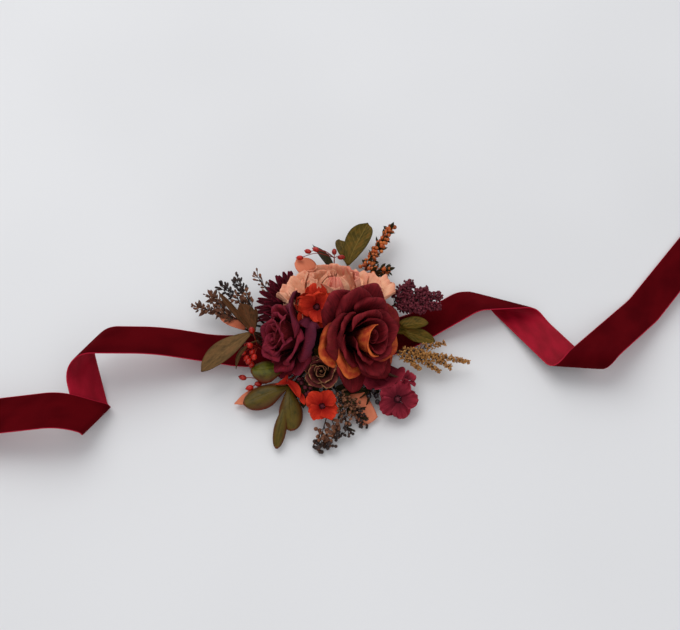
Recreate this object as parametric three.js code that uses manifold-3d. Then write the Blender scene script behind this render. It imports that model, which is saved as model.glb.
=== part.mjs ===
// Wrist corsage: flowers, leaves and sprays glued on a felt pad over a velvet ribbon.
// Millimetres, +Z up. The origin is the centre of the underside of the pad; +Y points away from the wearer.
import * as THREE from 'three';
import { mergeVertices } from 'three/addons/utils/BufferGeometryUtils.js';
import Module from 'manifold-3d';

const wasm = await Module();
wasm.setup();

// Driving dimensions
const bouquetRadius = 90; // farthest flower, leaf or spray from the pad's centre
const clearance = 0.3; // gap between pieces that lie on each other
const sliver = 0.002; // thinnest edge that a cut leaves
const padLength = 66;
const padWidth = 40;
const feltThickness = 1.5;
const coverThickness = 1.2;
const glueHeight = 11;
const glueMargin = 4;
const ribbonWidth = 25;
const ribbonThickness = 0.8;
const leftTailLength = 330;
const rightTailLength = 360;
const hingeInset = 0.3; // from the hinge axis back to the glued ribbon
const hingeOutset = 0.5; // from the hinge axis out to the tail
const petalThickness = 0.7;
const leafThickness = 0.8;
const rayThickness = 0.8;
const floretThickness = 0.6;
const stemRadius = 0.75;
const branchRadius = 0.5;
const twigRadius = 0.38;
const budRadius = 1.25;
const berryRadius = 1.75;

// The flowers, which grow with the bouquet
const rustRoseShare = 0.311;
const plumRoseShare = 0.278;
const peachRoseShare = 0.367;
const miniRoseShare = 0.122;
const dahliaShare = 0.256;
const redFloretShare = 0.144;
const wineFloretShare = 0.139;
const rustRoseRadius = rustRoseShare * bouquetRadius;
const plumRoseRadius = plumRoseShare * bouquetRadius;
const peachRoseRadius = peachRoseShare * bouquetRadius;
const miniRoseRadius = miniRoseShare * bouquetRadius;
const dahliaRadius = dahliaShare * bouquetRadius;
const redFloretRadius = redFloretShare * bouquetRadius;
const wineFloretRadius = wineFloretShare * bouquetRadius;

// Directions and rolls of the ribbon, angles in degrees
const leftHeading = 186;
const rightHeading = 21.6;
const leftHingeShares = [-0.5425, -0.057]; // of the pad's length
const rightHingeShares = [0.525, 0.037];
// Each roll: where it starts and its radius as shares of the tail's length, the skew of its axis to the
// ribbon, and how far it turns; a turn above zero rolls the velvet side outwards.
const leftRollShares = [
  { start: 0.036, radius: 0.152, skew: 120, turn: -26 },
  { start: 0.191, radius: 0.352, skew: 74, turn: 12 },
  { start: 0.324, radius: 0.03, skew: 57, turn: 141 },
  { start: 0.498, radius: 0.0106, skew: 59, turn: 196 },
  { start: 0.57, radius: 0.085, skew: 94, turn: 40 },
];
const rightRollShares = [
  { start: 0.047, radius: 0.083, skew: 45, turn: -25 },
  { start: 0.156, radius: 0.044, skew: 104, turn: 34 },
  { start: 0.228, radius: 0.0118, skew: 143, turn: 162.5 },
  { start: 0.422, radius: 0.016, skew: 127, turn: 188 },
  { start: 0.639, radius: 0.083, skew: 72, turn: -17 },
];

const colours = {
  felt: 0x5a2026,
  glue: 0x3b3324,
  velvet: 0x5c0812,
  rust: 0x7c1a24,
  plum: 0x451326,
  peach: 0xd98a6c,
  burgundy: 0x4f0f1e,
  mauve: 0x6e3f38,
  vermilion: 0xb52414,
  wine: 0x8a1c33,
  leaf: 0x3f4a22,
  bronze: 0x4d4428,
  darkLeaf: 0x2c3020,
  peachLeaf: 0xdb8358,
  orange: 0xb4571c,
  berry: 0xa21a16,
  darkBerry: 0x33101c,
  black: 0x17121a,
  gold: 0xa87428,
  brown: 0x4a342a,
};

const radians = THREE.MathUtils.degToRad;
const vec = (x, y, z) => new THREE.Vector3(x, y, z);
const at = (shares) => vec(shares[0] * bouquetRadius, shares[1] * bouquetRadius, shares[2] * bouquetRadius);

// Closed solids

// A closed surface as a solid; corners nearer than the merge distance become one.
function solidOf(geometry, merge = sliver / 10) {
  geometry.deleteAttribute('normal');
  geometry.deleteAttribute('uv');
  const merged = mergeVertices(geometry, merge);
  return new wasm.Manifold(new wasm.Mesh({
    numProp: 3,
    vertProperties: new Float32Array(merged.attributes.position.array),
    triVerts: new Uint32Array(merged.index.array),
  }));
}

function joined(solids) {
  return solids.reduce((whole, next) => whole.add(next));
}

function largest(solid) {
  const bodies = solid.decompose();
  return bodies.reduce((big, next) => (next.volume() > big.volume() ? next : big));
}

// A sheet of even thickness. place(s, t) is its middle surface: s runs 0 to 1 along, t runs -1 to 1 across.
function sheet(place, thickness, along, across, grow, length, halfWidth) {
  const geometry = new THREE.BoxGeometry(1, 2, 1, along, across, 1);
  const positions = geometry.attributes.position;
  const step = 0.001;
  for (let i = 0; i < positions.count; i += 1) {
    const s = (positions.getX(i) + 0.5) * (1 + 2 * grow / length) - grow / length;
    const t = positions.getY(i) * (1 + grow / halfWidth);
    const side = 2 * positions.getZ(i);
    const alongStep = place(s + step, t).sub(place(s - step, t));
    const acrossStep = place(s, t + step).sub(place(s, t - step));
    const normal = alongStep.cross(acrossStep).normalize();
    const point = place(s, t).addScaledVector(normal, side * (thickness / 2 + grow));
    positions.setXYZ(i, point.x, point.y, point.z);
  }
  return solidOf(geometry);
}

function tube(points, radius, sides, steps, grow) {
  const curve = new THREE.CatmullRomCurve3(points);
  const outline = new THREE.Shape();
  for (let i = 0; i < sides; i += 1) {
    const angle = i * 2 * Math.PI / sides;
    const x = (radius + grow) * Math.cos(angle);
    const y = (radius + grow) * Math.sin(angle);
    if (i === 0) outline.moveTo(x, y);
    else outline.lineTo(x, y);
  }
  return solidOf(new THREE.ExtrudeGeometry(outline, { steps, extrudePath: curve, curveSegments: 1 }));
}

function bead(centre, radius, stretch, direction, grow) {
  const geometry = new THREE.IcosahedronGeometry(1, 0);
  const turn = new THREE.Quaternion().setFromUnitVectors(vec(0, 0, 1), direction.clone().normalize());
  const size = vec(radius + grow, radius + grow, radius * stretch + grow);
  geometry.applyMatrix4(new THREE.Matrix4().compose(centre, turn, size));
  return solidOf(geometry);
}

function disc(radius, bottom, top, grow) {
  const rim = radius + grow;
  return turned([[0, bottom - grow], [rim, bottom - grow], [rim, top + grow], [0, top + grow]], 6);
}

function turned(profile, segments) {
  const geometry = new THREE.LatheGeometry(profile.map(([r, z]) => new THREE.Vector2(r, z)), segments);
  geometry.rotateX(Math.PI / 2);
  return solidOf(geometry);
}

function arc(share, turn) {
  return { share, turn: radians(turn) };
}

// Arcs end to end: each takes a share of the length and turns by an angle. Gives x, z and the heading at s.
function arcPath(length, heading, arcs) {
  return (s) => {
    let x = 0;
    let z = 0;
    let angle = heading;
    let left = s * length;
    arcs.forEach((arc, i) => {
      const full = arc.share * length;
      const run = i === arcs.length - 1 ? left : Math.min(left, full);
      const turn = arc.turn * run / full;
      const chord = Math.abs(turn) > 1e-6 ? 2 * Math.sin(turn / 2) * run / turn : run;
      x += chord * Math.cos(angle + turn / 2);
      z += chord * Math.sin(angle + turn / 2);
      angle += turn;
      left -= run;
    });
    return { x, z, angle };
  };
}

// Petals and whorls

const clamp = THREE.MathUtils.clamp;

// Half width along a petal or leaf, as a share of its widest: waist at the base, tip at the end
function outlineShare(s, waist, peak, tip) {
  const u = clamp(s, 0, 1);
  if (u < peak) return waist + (1 - waist) * Math.sin(Math.PI / 2 * u / peak);
  const rest = (u - peak) / (1 - peak);
  return 1 - (1 - tip) * rest ** 2.2;
}

// A ring of petals joined at the base, that wrap round their flower's axis: claw is the share of its place
// that a petal fills at the base, and wrap the most that it fills above. Each is raised at one edge, to lie
// over its neighbour. eye is the radius of the disc in the middle, where there is one.
function whorl(form, grow) {
  const pieces = form.eye ? [disc(form.eye, form.bottom, form.bottom + form.thickness, grow)] : [];
  for (let i = 0; i < form.count; i += 1) {
    const start = radians(form.start + i * 360 / form.count);
    const length = form.length * (1 + form.wobble * Math.sin(form.start + 2.4 * i));
    const path = arcPath(length, radians(90 - form.lean), form.arcs);
    const place = (s, t) => {
      const point = path(s * (1 - form.round * Math.abs(t) ** form.pointed));
      const half = form.halfWidth * outlineShare(s, form.waist, form.peak, form.tip);
      const wrap = Math.PI / form.count * (form.claw + (form.wrap - form.claw) * clamp(2 * s, 0, 1));
      const turn = start + t * Math.min(wrap, half / (form.radius + Math.max(path(s).x, 0)));
      const lift = form.lap * form.halfWidth * t * clamp(3 * s - 0.15, 0, 1);
      const curl = form.sideCurl * form.halfWidth * clamp(s, 0, 1) * t ** 4;
      const out = form.radius + point.x + (lift + curl) * Math.sin(point.angle);
      const up = form.bottom + point.z - (lift + curl) * Math.cos(point.angle);
      return vec(out * Math.cos(turn), out * Math.sin(turn), up);
    };
    pieces.push(sheet(place, form.thickness, form.along, form.across, grow, length, form.halfWidth));
  }
  return joined(pieces);
}

// The space that a whorl fills, closed over its top
function whorlSpace(form, grow) {
  const path = arcPath(form.length, radians(90 - form.lean), form.arcs);
  const room = form.thickness / 2 + grow + form.lap * form.halfWidth;
  const profile = [[0, form.bottom - grow]];
  let widest = 0;
  let top = 0;
  const rows = 3;
  for (let i = 0; i <= rows; i += 1) {
    const { x, z } = path(i / rows);
    if (form.radius + x + room < widest) break;
    widest = form.radius + x + room;
    top = Math.max(top, form.bottom + z + room);
    profile.push([widest, form.bottom + z - (i === 0 ? grow : 0)]);
  }
  return turned([...profile, [widest, top], [0, top]], 8);
}

// The whorls of a full rose, from the bud outwards; all sizes are shares of its radius. open is how far the
// outer petals bend outwards, cup how far the middle ones do, and height how tall the inner ones are.
function roseWhorls(radius, { petals, open, cup, height }) {
  const common = {
    claw: 1.12, wrap: 1.35, waist: 0.8, peak: 0.7, tip: 0.86, pointed: 2.2, thickness: petalThickness,
    along: 3, across: 3,
  };
  return {
    outer: {
      ...common, count: petals, start: 20, radius: 0.34 * radius, bottom: 0, length: 1.02 * radius,
      halfWidth: 0.6 * radius, lean: 16, arcs: [arc(0.55, -open), arc(0.3, -8), arc(0.15, -50)],
      round: 0.2, sideCurl: 0.14, lap: 0.09, wobble: 0.07,
    },
    middle: {
      ...common, count: 5, start: 48, radius: 0.21 * radius, bottom: 0,
      length: 1.04 * height * radius, halfWidth: 0.48 * radius, lean: 3,
      arcs: [arc(0.6, -cup), arc(0.25, 4), arc(0.15, -40)],
      round: 0.16, sideCurl: 0.08, lap: 0.08, wobble: 0.05,
    },
    inner: {
      ...common, count: 3, start: 5, radius: 0.085 * radius, bottom: 0,
      length: 0.96 * height * radius, halfWidth: 0.3 * radius, lean: 9,
      arcs: [arc(0.5, 3), arc(0.4, 12), arc(0.1, -25)],
      round: 0.1, sideCurl: 0.02, lap: 0.1, wobble: 0.03, along: 2, across: 2,
    },
  };
}

function calyx(radius, grow) {
  const seat = -2 * clearance;
  return turned([
    [0, -0.3 * radius - grow],
    [0.1 * radius + grow, -0.3 * radius - grow],
    [0.2 * radius + grow, -0.14 * radius],
    [0.34 * radius + grow, seat],
    [0, seat],
  ], 7);
}

// Frames that place a piece: a flower by its base and facing, a leaf by its base and tip

function facingFrame(base, facing, spin) {
  const z = vec(...facing).normalize();
  const x = vec(Math.cos(radians(spin)), Math.sin(radians(spin)), 0);
  x.addScaledVector(z, -x.dot(z)).normalize();
  const y = z.clone().cross(x);
  return new THREE.Matrix4().makeBasis(x, y, z).setPosition(base);
}

function tipFrame(base, tip, roll) {
  const x = tip.clone().sub(base).normalize();
  const z = vec(0, 0, 1).addScaledVector(x, -x.z).normalize();
  z.applyAxisAngle(x, radians(roll));
  const y = z.clone().cross(x);
  return new THREE.Matrix4().makeBasis(x, y, z).setPosition(base);
}

function geometryOf(solid) {
  const mesh = solid.getMesh();
  const geometry = new THREE.BufferGeometry();
  geometry.setAttribute('position', new THREE.BufferAttribute(new Float32Array(mesh.vertProperties), 3));
  geometry.setIndex(new THREE.BufferAttribute(new Uint32Array(mesh.triVerts), 1));
  return geometry;
}

function moved(solid, frame) {
  return solidOf(geometryOf(solid).applyMatrix4(frame));
}

// Where a stem is rooted in the glue, and the low point it passes on its way out
const glueBottom = feltThickness + ribbonThickness + coverThickness;
const glueLength = padLength - 2 * glueMargin;
const glueWidth = padWidth - 2 * glueMargin;

function stemTo(base, depth, radius, grow, along = 0.82) {
  const side = Math.atan2(base.y / glueWidth, base.x / glueLength);
  const away = vec(glueLength / 2 * Math.cos(side), glueWidth / 2 * Math.sin(side), 0);
  const root = away.clone().multiplyScalar(along).setZ(glueBottom + depth * 0.8 * glueHeight);
  const mid = root.clone().lerp(base, 0.7);
  mid.z = Math.min(mid.z, root.z + 0.2 * glueHeight);
  return tube([root, mid, base.clone()], radius, 3, 2, grow);
}

// Ribbon

// The stations of a rolled strip: where each ruling crosses its middle, and how far it leans along the strip.
function rulings(rolls, length, endLean) {
  const stations = [{ a: hingeOutset, lean: 0 }];
  rolls.forEach((roll) => {
    const lean = 1 / Math.tan(radians(roll.skew));
    const run = roll.radius * length * Math.abs(radians(roll.turn)) / Math.sin(radians(roll.skew));
    const steps = Math.ceil(Math.abs(roll.turn) / 18) + 1;
    for (let i = 0; i <= steps; i += 1) {
      stations.push({ a: roll.start * length + run * i / steps, lean });
    }
  });
  stations.push({ a: length - ribbonWidth, lean: endLean / 2 });
  stations.push({ a: length - ribbonWidth / 2 * endLean, lean: endLean });
  return stations;
}

// Where a point of the flat strip, a along and b across, lies once every roll is made.
function rolledPoint(rolls, length, a, b) {
  const point = vec(a, b, 0);
  [...rolls].reverse().forEach((roll) => {
    const skew = radians(roll.skew);
    const bend = Math.abs(radians(roll.turn));
    const sign = Math.sign(roll.turn);
    const radius = roll.radius * length;
    const axis = vec(Math.cos(skew), Math.sin(skew), 0);
    const across = vec(Math.sin(skew), -Math.cos(skew), 0);
    const start = vec(roll.start * length, 0, 0);
    const flatRun = vec(a, b, 0).sub(start).dot(across);
    if (flatRun <= 0) return;
    const rest = point.clone().sub(start);
    const turn = Math.min(flatRun / radius, bend);
    const forward = vec(Math.cos(turn) * across.x, Math.cos(turn) * across.y, -sign * Math.sin(turn));
    const upward = vec(sign * Math.sin(turn) * across.x, sign * Math.sin(turn) * across.y, Math.cos(turn));
    point.copy(start).addScaledVector(axis, rest.dot(axis));
    point.addScaledVector(across, radius * Math.sin(turn));
    point.z -= sign * radius * (1 - Math.cos(turn));
    point.addScaledVector(forward, rest.dot(across) - radius * turn);
    point.addScaledVector(upward, rest.z);
  });
  return point;
}

function ribbonTail(rolls, length, endLean, grow) {
  const stations = rulings(rolls, length, endLean);
  const last = stations.length - 1;
  const place = (s, t) => {
    const index = clamp(Math.floor(s * last), 0, last - 1);
    const share = s * last - index;
    const [near, far] = [stations[index], stations[index + 1]];
    const b = t * ribbonWidth / 2;
    const a = near.a + (far.a - near.a) * share + b * (near.lean + (far.lean - near.lean) * share);
    return rolledPoint(rolls, length, a, b);
  };
  return sheet(place, ribbonThickness, last, 1, grow, length, ribbonWidth / 2);
}

// The glued end of a ribbon: a flat strip from the seam under the flowers to its hinge.
function gluedRibbon(hinge, heading, seam, grow) {
  const out = vec(Math.cos(radians(heading)), Math.sin(radians(heading)), 0);
  const side = vec(-out.y, out.x, 0).multiplyScalar(ribbonWidth / 2 + grow);
  const shape = new THREE.Shape();
  [1, -1].forEach((way) => {
    const outer = hinge.clone().addScaledVector(out, grow - hingeInset).addScaledVector(side, way);
    const inner = outer.clone().addScaledVector(out, (seam - outer.x) / out.x);
    const [first, second] = way > 0 ? [inner, outer] : [outer, inner];
    if (way > 0) shape.moveTo(first.x, first.y);
    else shape.lineTo(first.x, first.y);
    shape.lineTo(second.x, second.y);
  });
  const depth = ribbonThickness + 2 * grow;
  const geometry = new THREE.ExtrudeGeometry(shape, { depth, bevelEnabled: false });
  return solidOf(geometry.translate(0, 0, feltThickness - grow));
}

function oval(length, width, bottom, thickness, grow) {
  const shape = new THREE.Shape();
  const [rx, ry] = [length / 2 + grow, width / 2 + grow];
  shape.absellipse(0, 0, rx, ry, 0, 2 * Math.PI, false, radians(leftHeading - 180));
  const depth = thickness + 2 * grow;
  const geometry = new THREE.ExtrudeGeometry(shape, { depth, bevelEnabled: false, curveSegments: 16 });
  return solidOf(geometry.translate(0, 0, bottom - grow));
}

function glueDome() {
  const profile = [[0, 0]];
  for (let i = 0; i <= 3; i += 1) {
    const angle = i * Math.PI / 6;
    profile.push([i === 3 ? 0 : Math.cos(angle), Math.sin(angle)]);
  }
  const geometry = new THREE.LatheGeometry(profile.map(([r, z]) => new THREE.Vector2(r, z)), 16);
  geometry.rotateX(Math.PI / 2).scale(glueLength / 2, glueWidth / 2, glueHeight);
  geometry.rotateZ(radians(leftHeading - 180));
  return solidOf(geometry.translate(0, 0, glueBottom));
}

// Leaves and loose petals

function leafSurface(form) {
  const sag = radians(form.sag);
  const path = arcPath(form.length, sag / 2, [{ share: 1, turn: -sag }]);
  return (s, t) => {
    const half = form.width / 2 * outlineShare(s, form.waist, form.peak, form.tip);
    const { x, z, angle } = path(s * (1 - form.round * t * t));
    const lift = form.cup * half * t * t;
    return vec(x - lift * Math.sin(angle), half * t, z + lift * Math.cos(angle));
  };
}

function leaf(form, frame, grow) {
  const solid = sheet(leafSurface(form), leafThickness, 4, 2, grow, form.length, form.width / 2);
  return moved(solid, frame);
}

// Sprays

function rod(from, to, radius, sides, grow) {
  const reachAlong = to.clone().sub(from);
  const length = reachAlong.length();
  const geometry = new THREE.CylinderGeometry(radius + grow, radius + grow, length + 2 * grow, sides);
  const turn = new THREE.Quaternion().setFromUnitVectors(vec(0, 1, 0), reachAlong.normalize());
  geometry.applyQuaternion(turn);
  const middle = from.clone().lerp(to, 0.5);
  return solidOf(geometry.translate(middle.x, middle.y, middle.z));
}

// A bud: it leaves the stem at start as a point and swells towards its end.
function bud(start, heading, length, size, sides, grow) {
  const profile = [[0, -grow], [size + grow, length - 0.9 * size], [0, length + grow]];
  const geometry = new THREE.LatheGeometry(profile.map(([r, z]) => new THREE.Vector2(r, z)), sides);
  const turn = new THREE.Quaternion().setFromUnitVectors(vec(0, 1, 0), heading.clone().normalize());
  return solidOf(geometry.applyQuaternion(turn).translate(start.x, start.y, start.z));
}

function branchPoints(form, from, to) {
  const middle = from.clone().lerp(to, 0.5);
  middle.z += form.arch * bouquetRadius;
  return [from, middle, to];
}

// One branch: a curved stem with buds set spirally along it.
function branch(form, from, to, twigs, grow) {
  const points = branchPoints(form, from, to);
  const curve = new THREE.CatmullRomCurve3(points);
  const size = form.bead * budRadius;
  const pieces = [tube(points, branchRadius, 3, 2, grow)];
  for (let i = 0; i < twigs; i += 1) {
    const share = form.bareShare + (1 - form.bareShare) * (i + 0.5) / twigs;
    const start = curve.getPoint(share);
    const forward = curve.getTangent(share);
    const side = vec(-forward.y, forward.x, 0).normalize();
    const up = forward.clone().cross(side);
    const round = form.flat ? (i % 2) * Math.PI + 0.25 : radians(137.5 * i);
    const out = side.multiplyScalar(Math.cos(round)).addScaledVector(up, Math.sin(round));
    const lean = radians(form.lean);
    const heading = forward.multiplyScalar(Math.cos(lean)).addScaledVector(out, Math.sin(lean));
    const length = form.twig * bouquetRadius * (1 - form.taper * share);
    pieces.push(bud(start, heading, length, size, form.sides, grow));
  }
  const end = curve.getTangent(1);
  pieces.push(bud(to.clone().addScaledVector(end, -size), end, 3 * size, size, form.sides, grow));
  return joined(pieces);
}

function spray(form, grow) {
  const [[mainFrom, mainTo]] = form.branches;
  const base = at(mainFrom);
  const main = new THREE.CatmullRomCurve3(branchPoints(form, base, at(mainTo)));
  const pieces = [stemTo(base, form.depth, stemRadius, grow)];
  form.branches.forEach(([from, to, twigs], i) => {
    const start = Array.isArray(from) ? at(from) : main.getPoint(from);
    pieces.push(branch(form, start, at(to), twigs, grow));
    if (i > 0 && Array.isArray(from)) pieces.push(rod(base, start, branchRadius, 3, grow));
  });
  return joined(pieces);
}

// Berries on stalks that leave one hub
function berryTwig(form, grow) {
  const hub = at(form.hub);
  const pieces = [stemTo(hub, form.depth, stemRadius, grow)];
  form.berries.forEach((place) => {
    const berry = at(place);
    pieces.push(rod(hub, berry, twigRadius, 3, grow));
    pieces.push(bead(berry, form.berry * berryRadius, form.stretch, berry.clone().sub(hub), grow));
  });
  return joined(pieces);
}

// Places and sizes in shares of the bouquet's radius: [x, y, z], widths, arches and twigs. Depths are shares
// of the glue's height, and beads and berries are shares of the bud's and the berry's radius. A side branch
// starts at a place, or at a share of the main branch. Angles are in degrees.

const flowerShares = {
  rust_rose: { base: [0.12, -0.05, 0.23], facing: [0.62, -0.36, 0.7] },
  plum_rose: { base: [-0.2, -0.06, 0.21], facing: [-0.76, -0.18, 0.6] },
  peach_rose: { base: [0.04, 0.13, 0.19], facing: [0, 0.52, 0.85] },
  mini_rose: { base: [-0.05, -0.31, 0.165], facing: [-0.1, -0.5, 0.86] },
  dahlia: { base: [-0.25, 0.24, 0.13], facing: [-0.4, 0.15, 0.9] },
  red_floret_upper: { base: [-0.085, 0.04, 0.43], facing: [-0.1, -0.45, 0.88] },
  red_floret_lower: { base: [-0.05, -0.55, 0.1], facing: [0, -0.3, 0.95] },
  wine_floret: { base: [0.465, -0.495, 0.1], facing: [0.15, -0.35, 0.92] },
  wine_floret_back: { base: [0.52, -0.36, 0.13], facing: [0.5, 0.1, 0.85] },
};

const leafShares = [
  {
    name: 'leaf_bronze', kind: 'bronze', depth: 0.4,
    leaves: [{ base: [-0.55, -0.05, 0.24], tip: [-0.875, -0.35, 0.22], width: 0.15, roll: 10 }],
  },
  {
    name: 'leaf_curved', kind: 'bronze', depth: 0.2,
    leaves: [{ base: [-0.505, -0.1, 0.22], tip: [-0.65, -0.3, 0.15], width: 0.09, roll: 60 }],
  },
  {
    name: 'leaf_sprig_left', kind: 'bronze', depth: 0.6,
    leaves: [
      { base: [-0.53, -0.03, 0.2], tip: [-0.63, 0.215, 0.22], width: 0.11, roll: 0 },
      { base: [-0.53, -0.03, 0.2], tip: [-0.8, 0.3, 0.245], width: 0.06, roll: -20 },
      { base: [-0.53, -0.03, 0.2], tip: [-0.53, 0.215, 0.16], width: 0.05, roll: 0 },
    ],
  },
  {
    name: 'leaf_thick', kind: 'leaf', depth: 0.3,
    leaves: [{ base: [-0.3, -0.27, 0.13], tip: [-0.545, -0.305, 0.155], width: 0.16, roll: 10 }],
  },
  {
    name: 'leaf_sprig_front', kind: 'leaf', depth: 0.1,
    leaves: [
      { base: [-0.28, -0.41, 0.12], tip: [-0.25, -0.72, 0.065], width: 0.16, roll: 0 },
      { base: [-0.28, -0.41, 0.12], tip: [-0.59, -0.525, 0.09], width: 0.16, roll: -5 },
      { base: [-0.28, -0.41, 0.12], tip: [-0.355, -0.84, 0.04], width: 0.1, roll: 0 },
    ],
  },
  {
    name: 'leaf_sprig_top', kind: 'leaf', depth: 0.3,
    leaves: [
      { base: [0.13, 0.6, 0.15], tip: [0.285, 0.985, 0.155], width: 0.18, roll: -10 },
      { base: [0.13, 0.6, 0.15], tip: [0.065, 0.88, 0.09], width: 0.11, roll: 15 },
    ],
  },
  {
    name: 'leaf_top_dark', kind: 'darkLeaf', depth: 0.1,
    leaves: [{ base: [0.03, 0.5, 0.17], tip: [-0.135, 0.78, 0.155], width: 0.1, roll: 35 }],
  },
  {
    name: 'leaf_sprig_right', kind: 'leaf', depth: 0,
    leaves: [
      { base: [0.44, 0.04, 0.15], tip: [0.695, 0.06, 0.2], width: 0.12, roll: -15 },
      { base: [0.44, 0.04, 0.15], tip: [0.74, -0.07, 0.16], width: 0.1, roll: 10 },
    ],
  },
  {
    name: 'leaf_between', kind: 'darkLeaf', depth: 0.7,
    leaves: [{ base: [-0.03, -0.1, 0.19], tip: [-0.05, -0.29, 0.24], width: 0.1, roll: 0 }],
  },
];

const peachLeafShares = [
  {
    name: 'peach_leaf_front', kind: 'peachLeaf', depth: 0,
    leaves: [{ base: [0.12, -0.36, 0.08], tip: [0.3, -0.66, 0.03], width: 0.15, roll: 0 }],
  },
  {
    name: 'peach_leaf_front_left', kind: 'peachLeaf', depth: 0,
    leaves: [{ base: [-0.3, -0.36, 0.07], tip: [-0.655, -0.5, 0.04], width: 0.11, roll: 0 }],
  },
  {
    name: 'peach_leaf_left', kind: 'peachLeaf', depth: 0.4,
    leaves: [{ base: [-0.6, 0.04, 0.15], tip: [-0.8, 0.19, 0.11], width: 0.08, roll: 0 }],
  },
  {
    name: 'peach_leaf_top', kind: 'peachLeaf', depth: 0,
    leaves: [{ base: [-0.1, 0.46, 0.15], tip: [-0.24, 0.7, 0.11], width: 0.15, roll: 0 }],
  },
  {
    name: 'peach_leaf_right', kind: 'peachLeaf', depth: 0,
    leaves: [{ base: [0.37, 0.35, 0.16], tip: [0.47, 0.43, 0.15], width: 0.09, roll: 0 }],
  },
];

const redPetalShares = {
  name: 'red_petals', kind: 'vermilion', depth: 0.5,
  leaves: [
    { base: [-0.28, -0.38, 0.17], tip: [-0.37, -0.36, 0.16], width: 0.1, roll: 20 },
    { base: [-0.28, -0.38, 0.17], tip: [-0.18, -0.49, 0.14], width: 0.1, roll: -25 },
  ],
};

const winePetalShares = {
  name: 'wine_petals', kind: 'wine', depth: 0,
  leaves: [
    { base: [0.36, -0.27, 0.14], tip: [0.27, -0.42, 0.12], width: 0.13, roll: 15 },
    { base: [0.36, -0.27, 0.14], tip: [0.41, -0.43, 0.12], width: 0.12, roll: -10 },
    { base: [0.36, -0.27, 0.14], tip: [0.51, -0.31, 0.15], width: 0.13, roll: -25 },
  ],
};

const sprayShares = [
  {
    name: 'orange_bud_spray', kind: 'orange', depth: 0.55, arch: 0.01, bareShare: 0.1,
    twig: 0.055, taper: 0.45, lean: 60, bead: 1.3, sides: 4, flat: false,
    branches: [[[0.23, 0.5, 0.15], [0.465, 0.975, 0.135], 11], [[0.27, 0.52, 0.155], [0.44, 0.54, 0.155], 3]],
  },
  {
    name: 'burgundy_spray', kind: 'darkBerry', depth: 0.75, arch: 0.02, bareShare: 0.15,
    twig: 0.07, taper: 0.45, lean: 55, bead: 1.1, sides: 3, flat: false,
    branches: [
      [[0.46, 0.23, 0.17], [0.79, 0.265, 0.24], 5],
      [[0.46, 0.25, 0.18], [0.58, 0.365, 0.25], 4],
      [[0.48, 0.21, 0.17], [0.77, 0.19, 0.22], 4],
    ],
  },
  {
    name: 'gold_spray', kind: 'gold', depth: 0, arch: 0.015, bareShare: 0.1,
    twig: 0.065, taper: 0.6, lean: 45, bead: 0.8, sides: 3, flat: false,
    branches: [
      [[0.42, -0.13, 0.15], [0.97, -0.205, 0.11], 7],
      [0.22, [0.76, -0.27, 0.09], 3],
      [0.3, [0.8, -0.07, 0.14], 3],
    ],
  },
  {
    name: 'brown_spray_right', kind: 'brown', depth: 0.15, arch: 0.02, bareShare: 0.15,
    twig: 0.055, taper: 0.4, lean: 45, bead: 0.95, sides: 3, flat: false,
    branches: [
      [[0.03, -0.42, 0.13], [0.235, -0.655, 0.06], 4],
      [[0.05, -0.45, 0.13], [0.13, -0.73, 0.06], 4],
    ],
  },
  {
    name: 'brown_spray_left', kind: 'brown', depth: 0.4, arch: 0.02, bareShare: 0.3,
    twig: 0.045, taper: 0.3, lean: 45, bead: 1.1, sides: 3, flat: false,
    branches: [
      [[-0.01, -0.6, 0.1], [-0.075, -0.84, 0.04], 3],
      [[0, -0.61, 0.1], [0.06, -0.76, 0.06], 3],
    ],
  },
  {
    name: 'fern_left', kind: 'brown', depth: 0.5, arch: 0.02, bareShare: 0.1,
    twig: 0.05, taper: 0.5, lean: 40, bead: 0.85, sides: 3, flat: true,
    branches: [[[-0.62, 0.11, 0.15], [-0.99, 0.27, 0.12], 8]],
  },
  {
    name: 'ferns_middle', kind: 'brown', depth: 0.2, arch: 0.02, bareShare: 0.25,
    twig: 0.045, taper: 0.3, lean: 40, bead: 0.85, sides: 3, flat: true,
    branches: [
      [[-0.52, 0.13, 0.17], [-0.795, 0.435, 0.155], 5],
      [[-0.52, 0.14, 0.17], [-0.7, 0.455, 0.19], 5],
    ],
  },
  {
    name: 'fern_top', kind: 'brown', depth: 0.1, arch: 0.02, bareShare: 0.4,
    twig: 0.04, taper: 0.3, lean: 40, bead: 0.85, sides: 3, flat: true,
    branches: [[[-0.4, 0.28, 0.14], [-0.54, 0.49, 0.18], 4]],
  },
];

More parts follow.
